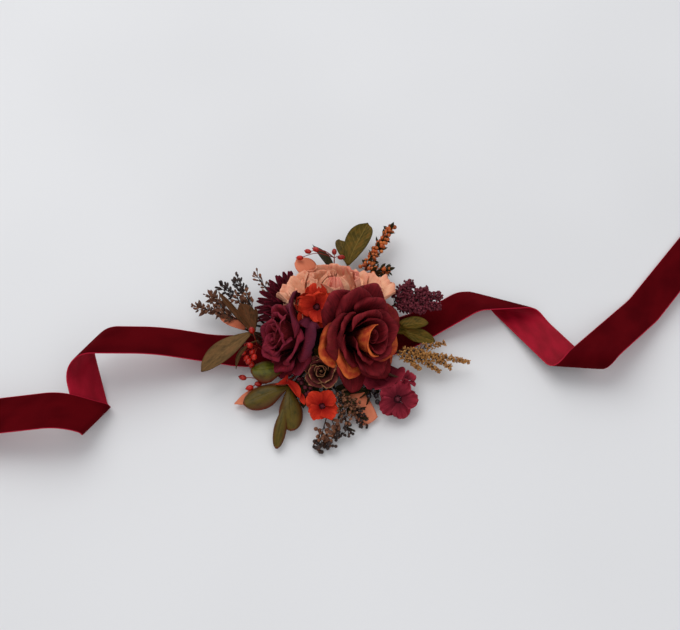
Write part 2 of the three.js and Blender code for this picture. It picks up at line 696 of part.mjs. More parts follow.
const berryShares = [
  {
    name: 'red_berries_left', kind: 'berry', depth: 0.25, hub: [-0.5, -0.13, 0.18], berry: 1.09,
    stretch: 1.15,
    berries: [
      [-0.54, -0.045, 0.27], [-0.57, -0.13, 0.21], [-0.535, -0.18, 0.2], [-0.575, -0.21, 0.17],
      [-0.54, -0.25, 0.15],
    ],
  },
  {
    name: 'red_berries_low', kind: 'berry', depth: 0.1, hub: [-0.44, -0.36, 0.08], berry: 1.03, stretch: 1.4,
    berries: [[-0.6, -0.33, 0.11], [-0.55, -0.4, 0.09], [-0.49, -0.38, 0.11]],
  },
  {
    name: 'red_berries_top', kind: 'berry', depth: 0, hub: [0.03, 0.6, 0.24], berry: 0.97, stretch: 1.5,
    berries: [
      [-0.225, 0.66, 0.155], [-0.165, 0.7, 0.18], [-0.105, 0.68, 0.23], [0.03, 0.66, 0.23],
      [0.08, 0.61, 0.23],
    ],
  },
  {
    name: 'dark_berries_front', kind: 'darkBerry', depth: 0.45, hub: [-0.2, -0.38, 0.13], berry: 0.86,
    stretch: 1,
    berries: [[-0.21, -0.43, 0.16], [-0.17, -0.4, 0.17], [-0.14, -0.44, 0.14]],
  },
  {
    name: 'black_berries', kind: 'black', depth: 0.1, hub: [0.27, -0.4, 0.06], berry: 0.97, stretch: 1.1,
    berries: [[0.27, -0.47, 0.1], [0.32, -0.46, 0.09], [0.33, -0.5, 0.07]],
  },
];

// Elements. Each has a frame and named pieces, and pieces make their solid swollen by grow. The space of an
// element is what later elements are cut clear of: its pieces, and for a flower also the room inside it.

const world = new THREE.Matrix4();

function element(frame, pieces, inside = () => []) {
  const space = (grow) => joined([...pieces.map(({ make }) => make(grow)), ...inside(grow)]);
  return { frame, pieces, space };
}

function single(name, kind, make) {
  return element(world, [{ name, kind, make }]);
}

function rose(name, kind, radius, shape, spin) {
  const place = flowerShares[name];
  const base = at(place.base);
  const frame = facingFrame(base, place.facing, spin);
  const forms = roseWhorls(radius, shape);
  const cup = (grow) => moved(calyx(radius, grow), frame).add(stemTo(base, 0.3, 2 * stemRadius, grow, 0.3));
  const whorls = ['inner', 'middle', 'outer'].map((key) => ({
    name: `${name}_${key}_petals`,
    kind,
    make: (grow) => moved(whorl(forms[key], grow), frame),
  }));
  const inside = (grow) => [forms.outer, forms.middle].map((form) => moved(whorlSpace(form, grow), frame));
  return element(frame, [...whorls, { name: `${name}_calyx`, kind: 'darkLeaf', make: cup }], inside);
}

function dahlia() {
  const place = flowerShares.dahlia;
  const radius = dahliaRadius;
  const base = at(place.base);
  const frame = facingFrame(base, place.facing, 0);
  const cup = (grow) => moved(calyx(radius, grow), frame).add(stemTo(base, 0.6, 1.5 * stemRadius, grow, 0.4));
  const rays = (count, start, ring, length, lean, open) => ({
    count, start, radius: ring * radius, bottom: 0, length: length * radius,
    halfWidth: 0.14 * radius, lean, arcs: [arc(0.5, -open), arc(0.5, 0.4 * open)], claw: 1.1, wrap: 0.9,
    waist: 0.8, peak: 0.55, tip: 0.25, round: 0, pointed: 2, sideCurl: 0, lap: 0, wobble: 0.05,
    thickness: rayThickness, along: 2, across: 1,
  });
  const rows = {
    inner: rays(5, 0, 0.08, 0.68, 6, 8),
    middle: rays(8, 12, 0.2, 0.84, 14, 26),
    outer: rays(10, 4, 0.32, 0.93, 26, 40),
  };
  const pieces = ['inner', 'middle', 'outer'].map((key) => ({
    name: `dahlia_${key}_rays`,
    kind: 'burgundy',
    make: (grow) => moved(whorl(rows[key], grow), frame),
  }));
  const inside = (grow) => [rows.outer, rows.middle].map((form) => moved(whorlSpace(form, grow), frame));
  return element(frame, [...pieces, { name: 'dahlia_calyx', kind: 'darkLeaf', make: cup }], inside);
}

function floret(name, kind, radius, spin, lean, depth) {
  const place = flowerShares[name];
  const base = at(place.base);
  const frame = facingFrame(base, place.facing, spin);
  const form = {
    count: 5, start: 0, radius: 0.12 * radius, bottom: 0, length: 0.9 * radius, halfWidth: 0.5 * radius, lean,
    arcs: [arc(0.4, -12), arc(0.6, -6)], claw: 0.8, wrap: 0.97, waist: 0.35, peak: 0.75, tip: 0.72,
    round: 0.14, pointed: 2.2, sideCurl: 0.04, lap: 0.09, wobble: 0.04, thickness: floretThickness,
    eye: 0.14 * radius, along: 2, across: 2,
  };
  const stem = (grow) => stemTo(base, depth, stemRadius, grow);
  const make = (grow) => moved(whorl(form, grow), frame).add(stem(grow));
  return element(frame, [{ name, kind, make }], (grow) => [moved(whorlSpace(form, grow), frame)]);
}

function miniRose() {
  const place = flowerShares.mini_rose;
  const radius = miniRoseRadius;
  const base = at(place.base);
  const frame = facingFrame(base, place.facing, 30);
  const forms = roseWhorls(radius, { petals: 4, open: 34, cup: 15, height: 1 });
  const thin = { thickness: floretThickness, along: 2, across: 2 };
  const innerForm = { ...forms.inner, ...thin, radius: 0.12 * radius, lap: 0.25 };
  const outerForm = { ...forms.outer, ...thin };
  const inner = (grow) => moved(whorl(innerForm, grow), frame);
  const cup = (grow) => moved(calyx(radius, grow), frame).add(stemTo(base, 0.2, stemRadius, grow));
  return element(
    frame,
    [
      { name: 'mini_rose_inner_petals', kind: 'mauve', make: inner },
      { name: 'mini_rose_outer_petals', kind: 'mauve', make: (grow) => moved(whorl(outerForm, grow), frame) },
      { name: 'mini_rose_calyx', kind: 'darkLeaf', make: cup },
    ],
    (grow) => [moved(whorlSpace(outerForm, grow), frame)],
  );
}

function leafSprig(form, outline) {
  const [first] = form.leaves;
  const make = (grow) => {
    const blades = form.leaves.map((place) => {
      const base = at(place.base);
      const tip = at(place.tip);
      const blade = { ...outline, length: base.distanceTo(tip), width: place.width * bouquetRadius };
      return leaf(blade, tipFrame(base, tip, place.roll), grow);
    });
    const foot = at(first.base).lerp(at(first.tip), 0.03);
    const twigs = form.leaves.slice(1).filter(({ base }) => at(base).distanceTo(foot) > stemRadius)
      .map(({ base, tip }) => rod(foot, at(base).lerp(at(tip), 0.05), twigRadius, 3, grow));
    return joined([...blades, ...twigs, stemTo(foot, form.depth, stemRadius, grow)]);
  };
  const frame = tipFrame(at(first.base), at(first.tip), first.roll);
  return element(frame, [{ name: form.name, kind: form.kind, make }]);
}

const leafOutline = { waist: 0.16, peak: 0.55, tip: 0.1, round: 0.02, sag: 22, cup: 0.25 };
const peachLeafOutline = { waist: 0.3, peak: 0.65, tip: 0.6, round: 0.12, sag: 10, cup: 0.05 };
const stripOutline = { waist: 0.7, peak: 0.5, tip: 0.85, round: 0.04, sag: 8, cup: 0.05 };
const redPetalOutline = { waist: 0.3, peak: 0.6, tip: 0.7, round: 0.2, sag: 30, cup: 0.5 };

const hingeHeight = feltThickness + ribbonThickness / 2;
const leftHinge = vec(leftHingeShares[0] * padLength, leftHingeShares[1] * padLength, hingeHeight);
const rightHinge = vec(rightHingeShares[0] * padLength, rightHingeShares[1] * padLength, hingeHeight);
const rightSeam = 0.1 * padLength;
const leftSeam = rightSeam - clearance;
const tailEndLean = 0.7;

function tail(name, hinge, heading, rolls, length) {
  const frame = new THREE.Matrix4().makeRotationZ(radians(heading)).setPosition(hinge);
  const make = (grow) => moved(ribbonTail(rolls, length, tailEndLean, grow), frame);
  return element(frame, [{ name, kind: 'velvet', make }]);
}

const coverBottom = feltThickness + ribbonThickness;
const coverLength = padLength - 2 * coverThickness;
const coverWidth = padWidth - 2 * coverThickness;
const pad = [
  single('ribbon_left_glued', 'velvet', (grow) => gluedRibbon(leftHinge, leftHeading, leftSeam, grow)),
  single('ribbon_right_glued', 'velvet', (grow) => gluedRibbon(rightHinge, rightHeading, rightSeam, grow)),
  single('felt_base', 'felt', (grow) => oval(padLength, padWidth, 0, feltThickness, grow)),
  single('felt_cover', 'felt', (grow) => oval(coverLength, coverWidth, coverBottom, coverThickness, grow)),
];

const glue = single('glue_bed', 'glue', glueDome);

const named = (places, ...names) => places.filter(({ name }) => names.includes(name));
const others = (places, ...names) => places.filter(({ name }) => !names.includes(name));
const leftLeaves = ['leaf_bronze', 'leaf_curved', 'leaf_sprig_left', 'leaf_thick'];
const backLeaves = ['leaf_sprig_top', 'leaf_top_dark'];
const backSprays = ['fern_left', 'ferns_middle', 'fern_top', 'orange_bud_spray'];
const outerBerries = ['red_berries_left', 'red_berries_low', 'red_berries_top'];
const greenLeaf = (form) => leafSprig(form, leafOutline);
const bare = (make) => (form) => single(form.name, form.kind, (grow) => make(form, grow));
// In the order in which they keep their shape: what comes later is cut clear of what comes before.
const elements = [
  ...pad,
  tail('ribbon_left_tail', leftHinge, leftHeading, leftRollShares, leftTailLength),
  tail('ribbon_right_tail', rightHinge, rightHeading, rightRollShares, rightTailLength),
  rose('rust_rose', 'rust', rustRoseRadius, { petals: 6, open: 46, cup: 21, height: 1 }, 0),
  floret('red_floret_upper', 'vermilion', redFloretRadius, 20, 68, 0.8),
  ...named(leafShares, ...leftLeaves, ...backLeaves).map(greenLeaf),
  ...named(berryShares, ...outerBerries).map(bare(berryTwig)),
  ...named(sprayShares, ...backSprays).map(bare(spray)),
  rose('plum_rose', 'plum', plumRoseRadius, { petals: 6, open: 44, cup: 15, height: 1 }, 20),
  miniRose(),
  rose('peach_rose', 'peach', peachRoseRadius, { petals: 6, open: 54, cup: 14, height: 0.66 }, 10),
  dahlia(),
  floret('red_floret_lower', 'vermilion', 0.85 * redFloretRadius, 50, 52, 0.3),
  floret('wine_floret', 'wine', wineFloretRadius, 0, 70, 0.1),
  floret('wine_floret_back', 'wine', 0.6 * wineFloretRadius, 30, 55, 0.2),
  leafSprig(redPetalShares, redPetalOutline),
  leafSprig(winePetalShares, redPetalOutline),
  ...others(leafShares, ...leftLeaves, ...backLeaves).map(greenLeaf),
  ...named(peachLeafShares, 'peach_leaf_front').map((form) => leafSprig(form, stripOutline)),
  ...others(peachLeafShares, 'peach_leaf_front').map((form) => leafSprig(form, peachLeafOutline)),
  ...others(sprayShares, ...backSprays).map(bare(spray)),
  ...others(berryShares, ...outerBerries).map(bare(berryTwig)),
  glue,
];

function boxOf(solid) {
  const { min, max } = solid.boundingBox();
  return new THREE.Box3(vec(...min), vec(...max));
}

function cutClear(solid, taken) {
  const box = boxOf(solid);
  const near = taken.filter((other) => other.box.intersectsBox(box));
  return near.reduce((left, other) => left.subtract(other.solid), solid);
}

function spaceOf(solid) {
  return { solid, box: boxOf(solid) };
}

// Nothing reaches below the face of the pad that lies on the wrist.
const depth = bouquetRadius;
const underside = new THREE.BoxGeometry(10 * bouquetRadius, 10 * bouquetRadius, depth);
underside.translate(0, 0, clearance - depth / 2);
const below = spaceOf(solidOf(underside));
const spaces = [];
const placed = [];
elements.forEach(({ frame, pieces, space }) => {
  const flat = spaces.length < pad.length || pieces[0].name === 'glue_bed';
  const taken = flat ? spaces.slice(pad.length) : [...spaces, below];
  const own = [];
  pieces.forEach(({ name, kind, make }) => {
    const cut = cutClear(make(0), [...taken, ...own]);
    const solid = largest(solidOf(geometryOf(largest(cut)), sliver));
    placed.push({ name, kind, frame, solid });
    own.push(spaceOf(make(clearance)));
  });
  if (pieces[0].name !== 'glue_bed') spaces.push(spaceOf(space(clearance)));
});

const roughness = { velvet: 0.95, felt: 1, leaf: 0.4, berry: 0.3, glue: 0.3 };
const group = new THREE.Group();
placed.forEach(({ name, kind, frame, solid }) => {
  const holder = new THREE.Group();
  frame.decompose(holder.position, holder.quaternion, holder.scale);
  const geometry = geometryOf(solid).applyMatrix4(frame.clone().invert());
  const finish = { color: colours[kind], roughness: roughness[kind] ?? 0.8, metalness: 0 };
  const mesh = new THREE.Mesh(geometry, new THREE.MeshStandardMaterial(finish));
  mesh.name = name;
  holder.add(mesh);
  group.add(holder);
});

export default group;
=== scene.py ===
# Wrist corsage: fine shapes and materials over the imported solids. Metres, +Z up, as in the solids.
from math import atan2, copysign, cos, hypot, pi, sin
from types import SimpleNamespace
import bpy
import numpy as np
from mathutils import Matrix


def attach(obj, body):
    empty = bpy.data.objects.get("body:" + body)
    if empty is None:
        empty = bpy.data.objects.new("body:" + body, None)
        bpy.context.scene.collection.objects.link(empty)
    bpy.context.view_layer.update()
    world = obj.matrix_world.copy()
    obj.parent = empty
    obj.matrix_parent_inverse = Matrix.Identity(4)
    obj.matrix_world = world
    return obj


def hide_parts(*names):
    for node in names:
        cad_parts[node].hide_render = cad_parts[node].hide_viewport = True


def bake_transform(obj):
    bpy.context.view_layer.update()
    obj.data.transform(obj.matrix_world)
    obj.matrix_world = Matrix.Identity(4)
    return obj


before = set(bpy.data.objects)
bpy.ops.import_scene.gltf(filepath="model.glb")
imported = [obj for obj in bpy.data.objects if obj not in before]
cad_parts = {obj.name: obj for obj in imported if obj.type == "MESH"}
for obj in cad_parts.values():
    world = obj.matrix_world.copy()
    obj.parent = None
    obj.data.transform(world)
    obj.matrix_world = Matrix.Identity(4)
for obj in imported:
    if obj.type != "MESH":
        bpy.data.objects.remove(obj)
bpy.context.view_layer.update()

# Lengths, in metres
BOUQUET_RADIUS = 0.09
CLEARANCE = 0.0003
PAD_LENGTH = 0.066
PAD_WIDTH = 0.04
FELT_THICKNESS = 0.0015
COVER_THICKNESS = 0.0012
GLUE_HEIGHT = 0.011
GLUE_MARGIN = 0.004
RIBBON_WIDTH = 0.025
RIBBON_THICKNESS = 0.0008
LEFT_TAIL_LENGTH = 0.33
RIGHT_TAIL_LENGTH = 0.36
PETAL_THICKNESS = 0.0004
LEAF_THICKNESS = 0.0006
STEM_RADIUS = 0.00075
BRANCH_RADIUS = 0.0004
TWIG_RADIUS = 0.0002
BUD_RADIUS = 0.0011
BERRY_RADIUS = 0.00175
RUST_ROSE_RADIUS = 0.028
PLUM_ROSE_RADIUS = 0.025
PEACH_ROSE_RADIUS = 0.033
MINI_ROSE_RADIUS = 0.011
DAHLIA_RADIUS = 0.023
RED_FLORET_RADIUS = 0.013
WINE_FLORET_RADIUS = 0.0125
PRESS_GAP = 0.0007

# How deep the bumps of the materials are, in metres
WEAVE = 0.00008
VEIN = 0.00025
CRUMPLE = 0.0005

# Stems, as shares: how far out on the glue the root stands, how high in the glue the highest root is, how
# far along a stem bends, and how much it may rise up to there
STEM_OUT = 0.82
STEM_DEPTH = 0.8
STEM_BEND = 0.7
STEM_RISE = 0.2

# Petals: one with more than this share inside an earlier flower is left out. The roll of its corners is a
# share of its half width, and one corner's roll starts lower. A wobble of 1 turns a petal by these degrees.
MOSTLY = 0.55
CORNER_ROLL = 0.1
CORNER_SLIP = 0.06
WOBBLE_DEGREES = 60

# Shares of a flower's radius: its calyx's foot, and a floret's eye and stamens
CALYX_FOOT = 0.28
EYE = 0.14
STAMENS = 5
STAMEN_FOOT = 0.04
STAMEN_HEIGHT = 0.1
STAMEN_LEAN = 0.4

# Sprays: the angle from one bud to the next round a branch, in degrees; the least and the most that chance
# makes of a twig's lean, a twig's length and a bud's size; how far it moves the buds of a clump, in buds, and
# tilts them; how far twigs and buds stay above the floor, in buds; and the leaflets, in degrees for the turn
# and the roll, in shares of the twigs' length, and in buds for the width
GOLDEN_ANGLE = 137.5
LEAN_SCATTER = (0.8, 1.2)
TWIG_SCATTER = (0.55, 1.1)
BUD_SCATTER = (0.8, 1.2)
CLUMP_SCATTER = 0.9
AXIS_SCATTER = 0.2
TWIG_CLEAR = 1.5
BUD_CLEAR = 1.2
LEAFLET_TURN = 100
LEAFLET_ROLL = 20
LEAFLET_LEAN = 1.3
LEAFLET_LENGTH = 1.5
LEAFLET_WIDTH = 2.2
LEAFLET_GRAIN = 0.01
BRANCH_ARCH = 0.015

# Berries: the tip of a berry as a share of its radius, the arch of its stalk as a share of its length, and
# the leaves round the hub
BERRY_TIP = 0.25
STALK_ARCH = 0.2
BERRY_LEAF_WIDTH_SHARE = 0.07
BERRY_LEAF_ROLL = 25

# How many faces there are along and across each kind of sheet, and the steps along a branch
RIBBON_GRID = (640, 20)
FLORET_GRID = (22, 20)
SEPAL_GRID = (10, 6)
LEAF_GRID = (26, 12)
LEAFLET_GRID = (6, 4)
BRANCH_STEPS = 24

# Turned forms: pairs of radius and height, as shares of the size
BALL = [(0.05, -1.0), (0.5, -0.87), (0.87, -0.5), (1.0, 0.0), (0.87, 0.5), (0.5, 0.87), (0.05, 1.0)]
SEED = [(0.2, 0.0), (0.8, 0.5), (1.0, 1.1), (0.6, 1.8), (0.06, 2.2)]
POD = [(0.2, 0.0), (0.6, 0.8), (0.9, 2.0), (0.8, 3.0), (0.1, 3.8)]
BOWL = [(0.04, -0.3), (0.11, -0.29), (0.16, -0.2), (0.21, -0.14), (0.3, -0.07), (0.33, -0.02), (0.3, -0.015)]

# The camera and the studio
CAMERA_PLACE = (0.006456, -0.347262, 0.570296)
CAMERA_TILT = 33
LENS_MM = 54.74
SENSOR_MM = 36
FLOOR_SIZE = 6.0
WINDOW_PLACE = (-0.5, 0.9, 1.5)
WINDOW_SIZE = 1.8
WINDOW_POWER = 18
FILL_PLACE = (0.3, -1.2, 1.4)
FILL_SIZE = 2.0
FILL_POWER = 7
AMBIENT = 0.54
SKY_SEEN = 0.8

# Where the ribbon leaves the pad, and its rolls, as in the solids; angles in degrees
LEFT_HEADING = 186
RIGHT_HEADING = 21.6
LEFT_HINGE_SHARES = (-0.5425, -0.057)
RIGHT_HINGE_SHARES = (0.525, 0.037)
SEAM_SHARE = 0.1
TAIL_END_LEAN = 0.7
LEFT_ROLL_SHARES = [
    dict(start=0.036, radius=0.152, skew=120, turn=-26),
    dict(start=0.191, radius=0.352, skew=74, turn=12),
    dict(start=0.324, radius=0.03, skew=57, turn=141),
    dict(start=0.498, radius=0.0106, skew=59, turn=196),
    dict(start=0.57, radius=0.085, skew=94, turn=40),
]
RIGHT_ROLL_SHARES = [
    dict(start=0.047, radius=0.083, skew=45, turn=-25),
    dict(start=0.156, radius=0.044, skew=104, turn=34),
    dict(start=0.228, radius=0.0118, skew=143, turn=162.5),
    dict(start=0.422, radius=0.016, skew=127, turn=188),
    dict(start=0.639, radius=0.083, skew=72, turn=-17),
]

rng = np.random.default_rng(11)


def radians(degrees):
    return degrees * pi / 180


def vec(*values):
    return np.array(values, float)


def at(shares):
    return vec(*shares) * BOUQUET_RADIUS


def scatter(limits):
    """A random share between two limits."""
    low, high = limits
    return low + (high - low) * rng.random()


def unit(v):
    return v / np.maximum(np.linalg.norm(v, axis=-1, keepdims=True), 1e-12)


def smooth(low, high, x):
    u = np.clip((x - low) / (high - low), 0, 1)
    return u * u * (3 - 2 * u)


# Frames: a 3 x 3 turn, whose rows are the local axes, and an origin

def facing_frame(base, facing, spin):
    z = unit(vec(*facing))
    x = vec(cos(radians(spin)), sin(radians(spin)), 0)
    x = unit(x - z * x.dot(z))
    return np.array([x, np.cross(z, x), z]), base


def tip_frame(base, tip, roll):
    x = unit(tip - base)
    z = unit(vec(0, 0, 1) - x * x[2])
    y = np.cross(z, x)
    lean = radians(roll)
    z, y = z * cos(lean) - y * sin(lean), y * cos(lean) + z * sin(lean)
    return np.array([x, y, z]), base


def in_frame(points, placing):
    turn, origin = placing
    return points @ turn + origin


def round_axis(ahead, degrees):
    """The way out from an axis, at an angle round it."""
    side = unit(np.cross(vec(0, 0, 1), ahead))
    up = np.cross(ahead, side)
    return side * cos(radians(degrees)) + up * sin(radians(degrees))


# The rooms of the flowers made so far. Each is a flower's frame and the outline of its cup, as pairs of
# radius and height from its foot up to the top of its wall. Sheets made later are pressed out of them.
ROOMS = []


def pressed(points):
    flat = points.reshape(-1, 3).copy()
    for (turn, origin), cup in ROOMS:
        local = (flat - origin) @ turn.T
        radius = np.maximum(np.hypot(local[:, 0], local[:, 1]), 1e-9)
        floor = np.interp(radius, cup[:-1, 0], cup[:-1, 1])
        inside = (radius < cup[-1, 0]) & (local[:, 2] > floor) & (local[:, 2] < cup[-1, 1])
        if not inside.any():
            continue
        spot = np.stack([radius, local[:, 2]], -1)[inside][:, None]
        first, step = cup[:-1], np.diff(cup, axis=0)
        share = np.clip(((spot - first) * step).sum(-1) / (step ** 2).sum(-1), 0, 1)
        on_wall = first + step * share[..., None]
        nearest = np.linalg.norm(spot - on_wall, axis=-1).argmin(1)
        wall = on_wall[np.arange(len(nearest)), nearest]
        local[inside, :2] *= (wall[:, 0] / radius[inside])[:, None]
        local[inside, 2] = wall[:, 1]
        flat = local @ turn + origin
    return flat.reshape(points.shape)


# One piece: its faces are collected here, with the grain that its materials follow. place is (share along,
# share across, seed), and grain is the same in metres. tone is how far a second colour shows.

class Shape:
    def __init__(self):
        self.points, self.faces, self.kinds, self.flat = [], [], [], []
        self.place, self.grain, self.tone = [], [], []
        self.count = 0

    def add(self, points, faces, kind, place, grain=None, tone=0.0):
        # One draw for each part added, which keeps the later draws as they are
        rng.random()
        self.points.append(points)
        self.faces += [tuple(i + self.count for i in face) for face in faces]
        self.kinds += [kind] * len(faces)
        self.flat += [False] * len(faces)
        self.place.append(place)
        self.grain.append(points if grain is None else grain)
        self.tone.append(np.full(len(points), tone, float))
        self.count += len(points)

    def piece(self, name, materials, nodes, body="bouquet"):
        mesh = bpy.data.meshes.new(name)
        mesh.from_pydata(np.concatenate(self.points).tolist(), [], self.faces)
        mesh.polygons.foreach_set("material_index", self.kinds)
        mesh.polygons.foreach_set("use_smooth", [not flat for flat in self.flat])
        for key, values in (("place", self.place), ("grain", self.grain)):
            layer = mesh.attributes.new(key, "FLOAT_VECTOR", "POINT")
            layer.data.foreach_set("vector", np.concatenate(values).ravel())
        layer = mesh.attributes.new("tone", "FLOAT", "POINT")
        layer.data.foreach_set("value", np.concatenate(self.tone))
        mesh.update()
        made = bpy.data.objects.new(name, mesh)
        bpy.context.scene.collection.objects.link(made)
        for material in materials:
            mesh.materials.append(MATERIALS[material])
        if body:
            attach(made, body)
        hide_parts(*nodes)
        return made


def grid_faces(rows, columns, offset=0, turned=False):
    faces = []
    for i in range(rows):
        for j in range(columns):
            a = offset + i * (columns + 1) + j
            b = a + columns + 1
            faces.append((a, a + 1, b + 1, b) if turned else (a, b, b + 1, a + 1))
    return faces


def tube_faces(rings, sides, turned=False):
    """The faces between the rings of a tube, and its two ends."""
    faces = []
    for i in range(rings - 1):
        for j in range(sides):
            a, b = i * sides + j, i * sides + (j + 1) % sides
            faces.append((a, a + sides, b + sides, b) if turned else (a, b, b + sides, a + sides))
    first, last = tuple(range(sides)), tuple(range((rings - 1) * sides, rings * sides))
    return faces + ([first, last[::-1]] if turned else [first[::-1], last])


# A closed sheet round the middle surface place(s, t): s runs 0 to 1 along it, t runs -1 to 1 across.
def sheet(shape, place, thickness, grid, size, placing, tone=0.0, front=0, back=1, thin=0.35):
    along, across = grid
    s, t = np.meshgrid(np.linspace(0, 1, along + 1), np.linspace(-1, 1, across + 1), indexing="ij")
    middle = pressed(in_frame(place(s, t), placing))
    middle[..., 2] = np.maximum(middle[..., 2], thickness / 2)
    normal = unit(np.cross(np.gradient(middle, axis=0), np.gradient(middle, axis=1)))
    rim = np.maximum(np.abs(t) ** 8, s ** 12)[..., None]
    room = normal * thickness / 2 * (1 - (1 - thin) * rim)
    spot = np.stack([s, t, np.full_like(s, rng.random())], -1).reshape(-1, 3)
    grain = spot * vec(*size, 1)
    shade = (tone(s, t) if callable(tone) else np.full_like(s, tone)).reshape(-1)
    n = len(spot)
    points = np.concatenate([(middle + room).reshape(-1, 3), (middle - room).reshape(-1, 3)])
    start = shape.count
    shape.add(points, grid_faces(along, across), front, np.tile(spot, (2, 1)), np.tile(grain, (2, 1)),
              np.tile(shade, 2))
    faces = grid_faces(along, across, offset=start + n, turned=True)
    edge = list(range(across + 1))
    edge += [(i + 1) * (across + 1) + across for i in range(along)]
    edge += [along * (across + 1) + across - 1 - j for j in range(across)]
    edge += [(along - 1 - i) * (across + 1) for i in range(along - 1)]
    rims = [(start + a, start + b, start + b + n, start + a + n) for a, b in zip(edge, edge[1:] + edge[:1])]
    shape.faces += faces + rims
    shape.kinds += [back] * (len(faces) + len(rims))
    shape.flat += [False] * len(faces) + [True] * len(rims)


def curve(points, steps):
    """A Catmull-Rom curve through points."""
    p = [2 * points[0] - points[1], *points, 2 * points[-1] - points[-2]]
    out = []
    for i in range(1, len(p) - 2):
        for k in range(steps):
            u = k / steps
            a, b, c, d = p[i - 1], p[i], p[i + 1], p[i + 2]
            cubic = (3 * b - a - 3 * c + d) * u ** 3
            out.append(0.5 * (2 * b + (c - a) * u + (2 * a - 5 * b + 4 * c - d) * u * u + cubic))
    return np.array([*out, points[-1]])


# A wire of the given radii along a smooth curve through points
def wire(shape, points, radius, tip=None, sides=5, steps=2, kind=1):
    path = curve(points, steps)
    forward = unit(np.gradient(path, axis=0))
    side = unit(np.cross(forward, vec(0.13, 0.27, 0.95)))[:, None]
    up = np.cross(forward, side[:, 0])[:, None]
    angle = (np.arange(sides) * 2 * pi / sides)[None, :, None]
    sizes = np.linspace(radius, tip or radius, len(path))[:, None, None]
    skin = (path[:, None] + (side * np.cos(angle) + up * np.sin(angle)) * sizes).reshape(-1, 3)
    spot = np.zeros((len(skin), 3))
    spot[:, 0] = np.repeat(np.linspace(0, 1, len(path)), sides)
    shape.add(skin, tube_faces(len(path), sides, turned=True), kind, spot)


def lathe(shape, base, axis, size, profile, sides=12, kind=0, tone=0.0):
    """A turned form, from its profile."""
    z = unit(axis)
    x = unit(np.cross(z, vec(0.31, 0.52, 0.11) + z[::-1] * 0.1))
    angle = np.arange(sides) * 2 * pi / sides
    ring = x * np.cos(angle)[:, None] + np.cross(z, x) * np.sin(angle)[:, None]
    points = [base + z * size * h + ring * size * r for r, h in profile]
    spot = np.zeros((len(profile) * sides, 3))
    spot[:, 0] = np.repeat(np.linspace(0, 1, len(profile)), sides)
    spot[:, 1] = np.tile(angle / pi - 1, len(profile))
    spot[:, 2] = rng.random()
    shape.add(np.concatenate(points), tube_faces(len(profile), sides), kind, spot, tone=tone)


# Materials, by name. Colours are red, green and blue from 0 to 255.
MATERIALS = {}


def srgb(red, green, blue):
    def linear(c):
        c = c / 255
        return c / 12.92 if c <= 0.04045 else ((c + 0.055) / 1.055) ** 2.4
    return (linear(red), linear(green), linear(blue), 1.0)


class Graph:
    def __init__(self, name):
        MATERIALS[name] = bpy.data.materials.new(name)
        MATERIALS[name].use_nodes = True
        self.tree = MATERIALS[name].node_tree
        self.tree.nodes.clear()

    def node(self, kind, inputs=(), **settings):
        made = self.tree.nodes.new(kind)
        for key, value in settings.items():
            setattr(made, key, value)
        for key, value in dict(inputs).items():
            if isinstance(value, bpy.types.NodeSocket):
                self.tree.links.new(value, made.inputs[key])
            elif made.inputs[key].type == "RGBA":
                made.inputs[key].default_value = srgb(*value)
            else:
                made.inputs[key].default_value = value
        return made

    def attribute(self, name, output="Vector"):
        return self.node("ShaderNodeAttribute", attribute_name=name).outputs[output]

    def spot(self):
        return self.node("ShaderNodeTexCoord").outputs["Object"]

    def parts(self, vector):
        return self.node("ShaderNodeSeparateXYZ", {"Vector": vector}).outputs

    def maths(self, operation, *values):
        return self.node("ShaderNodeMath", dict(enumerate(values)), operation=operation).outputs[0]

    def times(self, *values):
        return self.maths("MULTIPLY", *values)

    def noise(self, vector, scale, detail=3, roughness=0.5, stretch=None):
        if stretch:
            inputs = {0: vector, 1: stretch}
            vector = self.node("ShaderNodeVectorMath", inputs, operation="MULTIPLY").outputs[0]
        inputs = {"Vector": vector, "Scale": scale, "Detail": detail, "Roughness": roughness}
        return self.node("ShaderNodeTexNoise", inputs).outputs["Fac"]

    def weave(self, vector, along, across):
        waves = [self.node("ShaderNodeTexWave", {"Vector": vector, "Scale": scale}, bands_direction=direction)
                 for scale, direction in ((along, "X"), (across, "Y"))]
        return self.times(*[wave.outputs["Fac"] for wave in waves])

    def span(self, value, low, high, first=0.0, second=1.0):
        inputs = {"Value": value, "From Min": low, "From Max": high, "To Min": first, "To Max": second}
        return self.node("ShaderNodeMapRange", inputs, interpolation_type="SMOOTHSTEP").outputs[0]

    def mix(self, share, first, second, amount=None):
        if amount is not None:
            share = self.times(share, amount)
        return self.node("ShaderNodeMix", {0: share, 6: first, 7: second}, data_type="RGBA").outputs[2]

    def bump(self, height, strength, distance, normal=None):
        inputs = {"Height": height, "Strength": strength, "Distance": distance}
        if normal is not None:
            inputs["Normal"] = normal
        return self.node("ShaderNodeBump", inputs).outputs[0]

    def finish(self, colour, roughness, normal, **fixed):
        inputs = {"Base Color": colour, "Roughness": roughness, "Normal": normal}
        inputs.update({key.replace("_", " "): value for key, value in fixed.items()})
        shader = self.node("ShaderNodeBsdfPrincipled", inputs)
        self.node("ShaderNodeOutputMaterial", {0: shader.outputs[0]})


